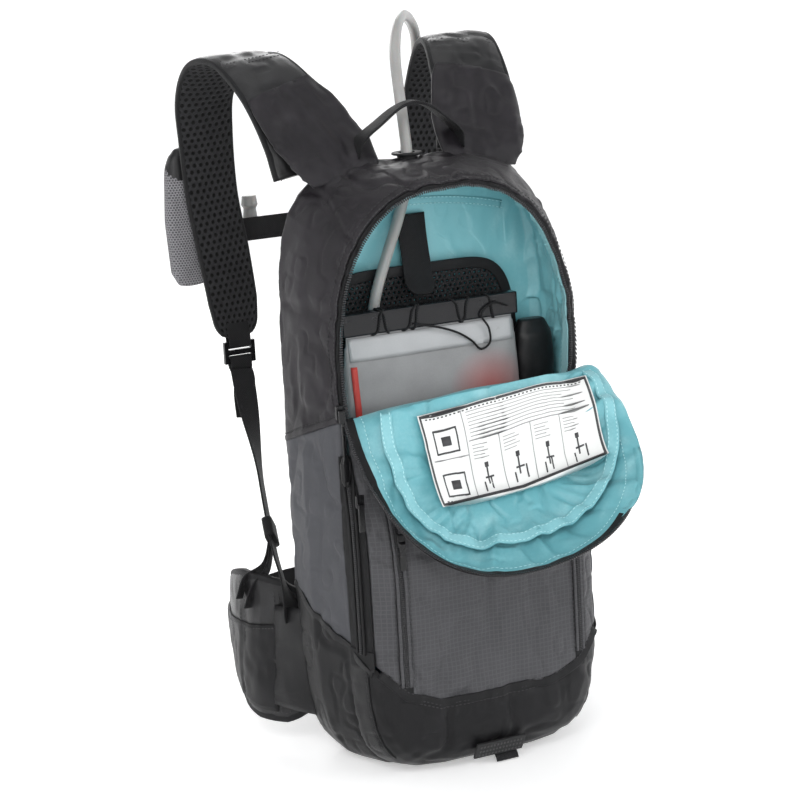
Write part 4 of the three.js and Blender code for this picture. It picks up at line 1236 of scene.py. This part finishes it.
for side_sign, word in ((-1, "left"), (1, "right")):
    body = f"strap_{word}"
    path = PAD_PATH if side_sign < 0 else mirror(PAD_PATH, 1)
    line, side, out, widths, rows = pad_rows(path, ALONG_X, 31 + side_sign, rounded=(0, 15),
                                             quilt=seam_dip(118))
    if side_sign > 0:
        rows = rows[:, ::-1]
    mesh = grid_mesh(rows)
    kinds = pad_faces(rows, mesh)
    if side_sign > 0:
        n, k = rows.shape[:2]
        kinds = [1 if j < 24 else 0 for i in range(n - 1) for j in range(k)] + [0] * (2 * k)
    pad = piece(f"shoulder_pad_{word}_cloth", mesh, body, "pad_outer", [f"shoulder_pad_{word}"],
                more=("spacer",), faces_finish=kinds)
    edges = joined([bound_edge(line, side, out, widths, s) for s in (-1, 1)])
    piece(f"shoulder_binding_{word}", edges, body, "binding")
    rows = edge_stitches(line, side, out, widths, 6.4, 2.7)
    at = int(np.argmin(np.abs(np.linspace(0, 1, len(line)) - 0.26)))
    across = np.linspace(-0.44, 0.44, 20)[:, None] * widths[at] * side[at] + line[at] - out[at] * 4.6
    rows += [stitched(across + tangents(line)[at] * d, -out[at]) for d in (-2.6, 2.6)]
    piece(f"shoulder_stitches_{word}", joined(rows), body, "stitch")

    web = WEB_PATH if side_sign < 0 else mirror(WEB_PATH, 1)
    line, place = spline(web, 2.5)
    ahead = tangents(line)
    flat = unit(ALONG_X - ahead * (ahead @ ALONG_X)[:, None])
    turned = np.radians(62 * ease(place, 0.1, 1.6) * (1 - 0.55 * ease(place, 4.0, 6.0)))[:, None] * side_sign
    side = flat * np.cos(turned) + np.cross(ahead, flat) * np.sin(turned)
    out = np.cross(ahead, side)
    strap = [grid_mesh(swept(line, side, out, rounded_profile(20, 1.6)))]
    k = int(np.argmin(np.abs(line[:, 2] - 176)))
    keeper = line[k - 2:k + 6]
    strap.append(grid_mesh(swept(keeper, side[k - 2:k + 6], out[k - 2:k + 6], rounded_profile(21, 8.5, 3.0))))
    for end in TAILS:
        tail = [line[k] + out[k] * 2, *(np.array((-side_sign * p[0], p[1], p[2])) for p in end)]
        strap.append(banded(tail, 10, 1.4, unit(side[k])))
    strap = joined(strap)
    obj = piece(f"strap_webbing_{word}_cloth", strap, body, "webbing", [f"strap_webbing_{word}"])
    across_joint(obj, body, web[-1], web[0])

    wing = WING_PATH if side_sign < 0 else mirror(WING_PATH, 1)
    line, side, out, widths, rows = pad_rows(wing, UP, 41 + side_sign, edge=3.6, puff=0.6, rounded=(0, 12),
                                            quilt=seam_dip(58, 1.0, 3.0))
    wing_rows = rows
    mesh = grid_mesh(rows)
    piece(f"hip_wing_{word}_cloth", mesh, f"hip_wing_{word}", "pad_outer", [f"hip_wing_{word}"])
    piece(f"hip_binding_{word}", joined([bound_edge(line, side, out, widths, s, 10, 5.2) for s in (-1, 1)]),
          f"hip_wing_{word}", "binding")
    rows = edge_stitches(line, side, out, widths, 7.2, 2.8)
    run = run_along(line)
    for at in (14, 20, 55, 61):
        k = int(np.argmin(np.abs(run - at)))
        up = np.linspace(-0.42, 0.42, 30)[:, None]
        lean = 9 * up if at < 30 else 0 * up
        across = line[k] + up * widths[k] * side[k] + tangents(line)[k] * lean - out[k] * 5.2
        rows.append(stitched(across, -out[k]))
    piece(f"hip_stitches_{word}", joined(rows), f"hip_wing_{word}", "stitch")
    face = -1 if side_sign < 0 else 1
    skin = wing_rows[:, :25] if side_sign < 0 else wing_rows[:, 25:50][:, ::-1]
    shares = np.linspace(-1, 1, 25)
    pocket, lip = [], []
    for i in range(7, len(line) - 12):
        t = (i - 7) / (len(line) - 20)
        at = np.linspace(-0.86, 0.42 - 0.5 * t * (1 - t) - 0.12 * t, 22)
        face_points = np.stack([np.interp(at, shares, skin[i, :, k]) for k in range(3)], 1)
        front = face_points + out[i] * face * (1.6 + 0.5 * np.sin(at * 3 + i / 5))[:, None]
        pocket.append(np.vstack([front, face_points[::-1] + out[i] * face * 0.4]))
        lip.append(front[-1] - side[i] * 3)
    pocket = grid_mesh(np.array(pocket))
    piece(f"hip_pocket_{word}", pocket, f"hip_wing_{word}", "boot")
    piece(f"hip_pocket_stitches_{word}", stitched(np.array(lip) + out[7:len(line) - 12] * face * 0.5,
                                                  out[7:len(line) - 12] * face),
          f"hip_wing_{word}", "stitch")
    tab = []
    for t in np.linspace(0, 1, 22):
        start = np.array(on_side(side_sign, -16, 34 + 92 * t, 0.2))
        end = skin[8, int(round(3 + 17 * t))] + out[8] * face * 1.0
        u = np.linspace(0, 1, 20)[:, None]
        swell = np.sin(math.pi * u) * (2.0 + 1.0 * math.sin(9 * t)) * side_sign
        sheet = start + (end - start) * u + ALONG_X * swell
        tab.append(np.vstack([sheet, sheet[::-1] - ALONG_X * side_sign * 0.8]))
    tab = piece(f"hip_tab_{word}", grid_mesh(np.array(tab)), f"hip_wing_{word}", "boot")
    across_joint(tab, f"hip_wing_{word}", (side_sign * 121, -14, 80), (side_sign * 124, 24, 80))
    belt = BELT_PATH if side_sign < 0 else mirror(BELT_PATH, 1)
    piece(f"hip_webbing_{word}_cloth", banded(belt, 25, 1.6, UP), f"hip_wing_{word}", "webbing",
          [f"hip_webbing_{word}"])

    inner_x, outer_x = (-6, -82) if side_sign < 0 else (14, 82)
    chest = [(x, STERNUM_Y + 0.1 + 0.2 * math.sin(x / 9), STERNUM_Z) for x in np.linspace(inner_x, outer_x, 12)]
    piece(f"sternum_webbing_{word}_cloth", banded(chest, 20, 1.6, UP), f"sternum_{word}", "webbing",
          [f"sternum_webbing_{word}"])

# ---------------------------------------------------------------- haul loop, hanger, patch and port
LOOP_SIDE = [(-46, -9, 484.5), (-43, -13, 495), (-28, -18, 508), (-12, -21, 519)]
loop_points = LOOP_SIDE + [(0, -21.5, 522)] + [(-x, y, z) for x, y, z in LOOP_SIDE[::-1]]
line, place = spline(loop_points, 2.5)
_, side, out = laid(line, ALONG_Y)
widths = 20 - 8.5 * np.exp(-((place - 4) / 1.7) ** 2)
section = np.array([rounded_profile(w, 1.6 + (20 - w) * 0.14) for w in widths])
piece("haul_loop_cloth", grid_mesh(swept(line, side, out, section)), "haul_loop", "webbing", ["haul_loop"])
hanger = ((0, -8, 432), (0, -10, 415), (0, -14, 396), (-2, -22, 380), (-3, -31, 370))
line, _ = spline(hanger, 2.0)
_, side, out = laid(line, ALONG_X)
left_over = np.linalg.norm(line[-1] - line, axis=1)
widths = 25 * np.sqrt(np.maximum(1 - (1 - np.clip((left_over + 2) / 13, 0, 1)) ** 2, 0.02))
section = np.array([rounded_profile(w, 1.6) for w in widths])
piece("hanger_webbing", grid_mesh(swept(line, side, out, section)), "root", "webbing", ["hanger_strap"])
near_end = slice(-17, -5)
hook = line[near_end] - out[near_end] * 1.5 * np.sign(out[near_end, 1:2]) * -1
piece("hanger_hook_patch", grid_mesh(swept(hook, side[near_end], out[near_end], rounded_profile(19, 1.2))),
      "root", "hose_grey")


def hard(node, name, body, finish, voxel=0.5, relax=2):
    """A moulded piece: the CAD solid with softened edges."""
    return piece(name, remeshed(node, voxel, relax), body, finish, [node])


hard("slide_bar", "slide_bar_moulded", "slide_bar", "bar", 0.8, 14)
hard("reservoir_outlet", "outlet_moulded", "root", "plastic", 0.7)
hard("hose_port", "port_rubber", "root", "rubber", 0.6)
hard("light_loop_patch", "light_patch_rubber", "root", "rubber", 0.6)
hard("bite_valve", "bite_valve_moulded", "strap_right", "hose", 0.6, 3)
hard("hose_keeper_right", "hose_keeper_cloth", "strap_right", "webbing", 0.8)
hard("main_zip_slider", "main_slider_metal", "root", "plastic", 0.4)
hard("main_zip_puller", "main_puller_cord", "main_zip_puller", "plastic", 0.45, 3)
hard("side_zip_slider_left", "side_slider", "side_zip_slider_left", "plastic", 0.45)
for word in ("left", "right"):
    hard(f"front_zip_slider_{word}", f"front_slider_{word}", f"front_zip_slider_{word}", "plastic", 0.45)
    hard(f"ladder_lock_{word}", f"ladder_lock_{word}_moulded", f"strap_{word}", "plastic", 0.5, 3)
    hard(f"sternum_slider_{word}", f"sternum_slider_{word}_moulded", f"sternum_{word}", "plastic", 0.6)
hard("sternum_buckle_male", "sternum_male", "sternum_buckle_male", "plastic", 0.5)
hard("sternum_buckle_female", "sternum_female", "sternum_right", "plastic", 0.5)
hard("hip_buckle_male", "hip_male", "hip_buckle_male", "plastic", 0.6)
hard("hip_buckle_female", "hip_female", "hip_wing_right", "plastic", 0.6)

# ---------------------------------------------------------------- inside: net, sleeve, reservoir and hose
BAG_X, BAG_Y = -3.0, -38.0  # the middle of the reservoir, across and in depth
net = []
for z in np.linspace(14.5, 388, 60):
    half = 86 * (1 - abs((z - 200) / 189) ** 7) ** (1 / 7) if abs(z - 200) < 189 else 20
    xs = np.linspace(-half, half, 30)
    front = np.stack([xs, -13.2 + 0.5 * np.sin(xs / 11) * np.sin(z / 17), np.full(30, z)], 1)
    net.append(np.vstack([front, front[::-1] + (0, 1.2, 0)]))
mesh = squared(grid_mesh(np.array(net)))
piece("net_divider", mesh, "root", "net", ["mesh_divider"])
edge_line = [(x, -13.2, 200 + 187.5 * (1 - abs(x / 85.5) ** 7) ** (1 / 7))
             for x in 85.5 * np.sin(np.linspace(-math.pi / 2, math.pi / 2, 60))]
line = resample(np.array(edge_line), 3)
ahead = tangents(line)
piece("net_binding", grid_mesh(swept(line, np.cross(ahead, ALONG_Y), np.tile((0, 1.0, 0), (len(line), 1)),
                                     rounded_profile(9, 2.6, 1.0))),
      "root", "binding")
sleeve = remeshed("side_sleeve", 1.6, 3)
SLEEVE_EDGE = to_local(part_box("side_sleeve")[1])[0, 0]
SLEEVE_WIDENED = 1.45


def sleeve_wave(p):
    p = p.copy()
    p[:, 0] = SLEEVE_EDGE - (SLEEVE_EDGE - p[:, 0]) * SLEEVE_WIDENED
    return p + unit(p * (1, 1, 0) - (99, -31, 0)) * (0.9 * noise(p / 14, 61) - 0.6)[:, None]


piece("side_sleeve_cloth", bent(sleeve, sleeve_wave), "root", "pad_outer", ["side_sleeve"])
bag = remeshed("reservoir_bag", 1.6, 2)


def bag_wave(p):
    x, y, z = p.T
    dip = 1.8 * noise(p / (30, 60, 40), 71) + 0.7 * noise(p / (11, 40, 16), 73)
    hold = ease(345 - z, 0, 30) * np.sign(y - BAG_Y) * 0.55
    return p + np.stack([0 * x, dip * hold - 0.4 * hold, 0 * z], 1)


piece("reservoir_film", bent(bag, bag_wave), "root", "film", ["reservoir_bag"])


def film_patch(u0, u1, z0, z1, lift, thick=0.4):
    """A printed or welded patch lying on the reservoir's front face."""
    rows = []
    for z in np.linspace(z0, z1, max(2, int((z1 - z0) / 3))):
        deep = np.interp(z, (56, 64, 100, 200, 290, 330, 342, 358), (3, 8, 12, 12.5, 11, 5, 1.6, 1.3))
        half = np.interp(z, (56, 64, 100, 200, 290, 330, 342, 358), (62, 74, 80, 80, 79, 77, 76, 76))
        xs = np.linspace(u0, u1, max(2, int((u1 - u0) / 3)))
        share = np.clip(np.abs(xs - BAG_X) / half, 0, 0.999)
        y = BAG_Y - deep * (1 - share ** 3.2) ** (1 / 3.2)
        front = bag_wave(np.stack([xs, y, np.full(len(xs), z)], 1)) - (0, lift, 0)
        rows.append(np.vstack([front, front[::-1] + (0, thick, 0)]))
    return grid_mesh(np.array(rows))


piece("film_band", film_patch(-76, 70, 326, 344, 1.1), "root", "film_clear")
piece("film_marks", film_patch(-76, -71, 244, 322, 1.2), "root", "mark_red")

HOSE = ((-45, -19.6, 132), (-45.5, -19.6, 160), (-46, -19.6, 220), (-47, -19.6, 290), (-46, -19.6, 340),
        (-40, -19.6, 372),
        (-29, -18.8, 400), (-14, -14.5, 430), (-3, -10, 456), (0, -8, 478), (0.5, -4.5, 499), (2, 3.5, 525), (9,
                                                                                                              22, 553),
        (24, 48, 573), (44, 78, 582), (65, 108, 578), (86, 138, 561), (98, 162, 530), (102, 174.5, 498), (102,
                                                                                                          176,
                                                                                                          460),
        (98, 179, 432), (86, 181.5, 414), (66, 183, 407), (40, 184.5, 407), (10, 185.5, 407), (-16, 184.5,
                                                                                               407), (-41, 183,
                                                                                                      407))
line, _ = spline(HOSE, 4.0)
hose = piece("drinking_hose_tube", round_tube(line, HOSE_DIAMETER / 2, 16), "root", "hose", ["drinking_hose"])
hose.parent = None
tuple(to_world((0, 0, 505))[0])
tuple(to_world((0, 130, 505))[0])
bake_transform(hose)
tuple(to_world(HOSE[0])[0])
to_world(line).tolist()

CORD = ((-20, -45.4, 350), (0, -45.6, 345), (18, -45.6, 338), (30, -45.8, 330), (38, -46.6, 322),
        (46, -46.6, 326), (46, -46.2, 338),
        (40, -45.8, 350), (52, -45.6, 358), (64, -45.4, 354))
line, _ = spline(CORD, 2.0)
elastic = piece("slide_bar_elastic", round_tube(line, 0.9, 8), "slide_bar", "webbing", ["slide_bar_cord"])
tuple(to_world(CORD[0])[0])
to_world(line).tolist()

bar_low, bar_high = (to_local(c)[0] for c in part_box("slide_bar"))
bar_mid, bar_half = (bar_low + bar_high) / 2, (bar_high - bar_low) / 2
wraps = []
for at, slant in ((-50, 5), (-45, -4), (-22, 6), (-17, 3), (20, -5), (27, 4), (50, -3)):
    turn = np.linspace(0, 2 * math.pi, 33)
    ring = np.stack([at + slant * np.sin(turn), bar_mid[1] + (bar_half[1] + 0.7) * bend(np.cos(turn), 2 / 0.35),
                     bar_mid[2] + (bar_half[2] + 0.7) * bend(np.sin(turn), 2 / 0.35)], 1)
    wraps.append(round_tube(resample(ring, 1.5), 0.9, 8))
piece("slide_bar_wraps", joined(wraps), "slide_bar", "webbing")

# ---------------------------------------------------------------- straps' ends: yokes and ladder-lock loops
for side_sign, word in ((-1, "left"), (1, "right")):
    body = f"strap_{word}"
    yoke = mirror(((-62, -19, 464, 56), (-63, -14, 473, 68), (-66, -5, 484, 76), (-71, 6, 496, 78),
                   (-77, 20, 511, 75),
                   (-83, 34, 526, 70), (-87, 42, 535, 62)), -side_sign)
    line, place = spline(yoke, 2.5)
    widths = np.interp(place, np.arange(7), [p[3] for p in yoke])
    _, side, out = laid(line, ALONG_X)
    share = np.linspace(-1, 1, 33)
    rows = []
    for i in range(len(line)):
        spot = np.stack([share * widths[i] / 16, np.full(33, i / 5), np.full(33, side_sign * 3.0)], 1)
        fold = 1.4 * noise(spot, 83) - 1.2 * ease(1 - np.abs(noise(spot * 0.6, 85)), 0.75, 1)
        edge = 2.2 * np.abs(share) ** 6
        top = line[i] + share[:, None] * widths[i] / 2 * side[i] - out[i] * (6.2 - edge - fold)[:, None]
        rows.append(np.vstack([top, top[::-1] + out[i] * 1.4]))
    obj = piece(f"shoulder_yoke_{word}", grid_mesh(np.array(rows)), body, "nylon")
    across_joint(obj, body, (0, -6, 478), (0, 24, 512))

    x = side_sign * 90
    tab = ((x, 154.5, 338), (x, 152.0, 326), (x, 150.6, 317), (x, 151.4, 311.6), (x, 153.6, 310.0),
           (x, 156.2, 311.6),
           (x, 157.6, 317), (x, 158.2, 326), (x, 158.2, 338))
    turn = ((x, 150.6, 292), (x, 150.6, 298), (x, 151.4, 301.6), (x, 153.6, 302.6), (x, 156.2, 301.4),
            (x, 157.2, 296),
            (x - 3 * side_sign, 154.5, 284), (x + 1 * side_sign, 146, 268), (x + 4 * side_sign, 136, 252))
    piece(f"ladder_webbing_{word}", joined([banded(tab, 20, 1.4, step=1.5), banded(turn, 19.5, 1.4, step=1.5)]),
          body, "webbing")

# ---------------------------------------------------------------- padded back and pouch, blown up like sewn foam
CLOTH_FRAMES = 20


def inflated(node, voxel, cap, pressure=4.0, shrink=0.8):
    """A foam pad from its CAD solid: remeshed, shrunk a little and swelled as cloth, no point moving past the cap."""
    mesh = remeshed(node, voxel, 1)
    co = to_local(coords(mesh))
    normal = np.empty(len(mesh.vertices) * 3)
    mesh.vertices.foreach_get("normal", normal)
    start = co - normal.reshape(-1, 3) * shrink
    set_coords(mesh, to_world(start))
    obj = make_object("pad", mesh)
    cloth = obj.modifiers.new("Cloth", "CLOTH")
    cloth.settings.quality = 4
    cloth.settings.use_pressure = True
    cloth.settings.uniform_pressure_force = pressure
    cloth.settings.tension_stiffness = 12
    cloth.settings.effector_weights.gravity = 0
    cloth.collision_settings.use_collision = False
    cloth.collision_settings.use_self_collision = False
    scene = bpy.context.scene
    for number in range(1, CLOTH_FRAMES + 1):
        scene.frame_set(number)
    dg = bpy.context.evaluated_depsgraph_get()
    end = to_local(coords(bpy.data.meshes.new_from_object(obj.evaluated_get(dg))))
    scene.frame_set(1)
    step = end - start
    far = np.linalg.norm(step, axis=1, keepdims=True)
    step = step * np.minimum(1, cap / np.maximum(far, 1e-9))
    result = obj.data.copy()
    bpy.data.objects.remove(obj)
    set_coords(result, to_world(start + step))
    return result


def smoothed(mesh):
    made = make_object("smooth", mesh)
    made.modifiers.new("Fine", "SUBSURF").levels = 1
    result = bpy.data.meshes.new_from_object(made.evaluated_get(bpy.context.evaluated_depsgraph_get()))
    bpy.data.objects.remove(made)
    return result


def grooved(mesh, grooves):
    """Sews channels into a pad's face: each groove is (height, width, depth) across the pad."""
    def change(p):
        dip = sum(depth * np.exp(-((p[:, 2] - z) / wide) ** 2) for z, wide, depth in grooves)
        return p - np.stack([0 * dip, dip * (p[:, 1] > 12), 0 * dip], 1)
    return bent(mesh, change)


for side_sign, word in ((-1, "left"), (1, "right")):
    pad = smoothed(inflated(f"back_pad_{word}", 5, 2.0))
    pad = grooved(pad, ((210, 4, 2.4), (290, 4, 2.4), (365, 4, 2.4)))
    piece(f"back_pad_{word}_net", pad, "root", "spacer", [f"back_pad_{word}"])
pad = grooved(smoothed(inflated("lumbar_pad", 5, 2.2)), ((62, 4, 2.2), (100, 4, 2.2)))
piece("lumbar_pad_net", pad, "root", "spacer", ["lumbar_pad"])
pouch = smoothed(inflated("strap_pouch_left", 5, 3.0, shrink=0.2))
spots = to_local(np.array([f.center[:] for f in pouch.polygons]))
pouch_low, pouch_high = (to_local(c)[0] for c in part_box("strap_pouch_left"))
lean_to = (spots - pouch_low) / (pouch_high - pouch_low)
capped_top = lean_to[:, 2] > 0.74 + 0.22 * lean_to[:, 1]
pouch = piece("strap_pouch_net", pouch, "strap_left", "fine_net", ["strap_pouch_left"], more=("pad_outer",),
              faces_finish=capped_top)

# ---------------------------------------------------------------- small details
patch_tilt = math.atan2(25, -14)
patch_up = np.array((0, math.cos(patch_tilt), math.sin(patch_tilt)))
patch_out = np.array((0, -math.sin(patch_tilt), math.cos(patch_tilt)))
dots = []
face = 1 if patch_out[1] < 0 else -1
for u in np.linspace(-18, 18, 13):
    for v in (-4.6, 0, 4.6):
        dots.append(np.array((u, -117, 14.5)) + ALONG_Y * patch_up[1] * v + UP * patch_up[2] * v + patch_out * face * 1.35)
dots = np.array(dots)
n = len(dots)
piece("light_patch_dots", grains(dots, np.tile(ALONG_X, (n, 1)), np.tile(patch_up, (n, 1)),
                                 np.tile(patch_out, (n, 1)), (1.7, 2.6, 1.0)),
      "root", "hose_grey")
tag = [(8, -105.5, 9.5), (8, -111, 6.5), (8, -114, 3.4), (8, -115, 0.9)]
piece("base_tag", banded(tag, 20, 0.9, step=1.5), "root", "webbing")
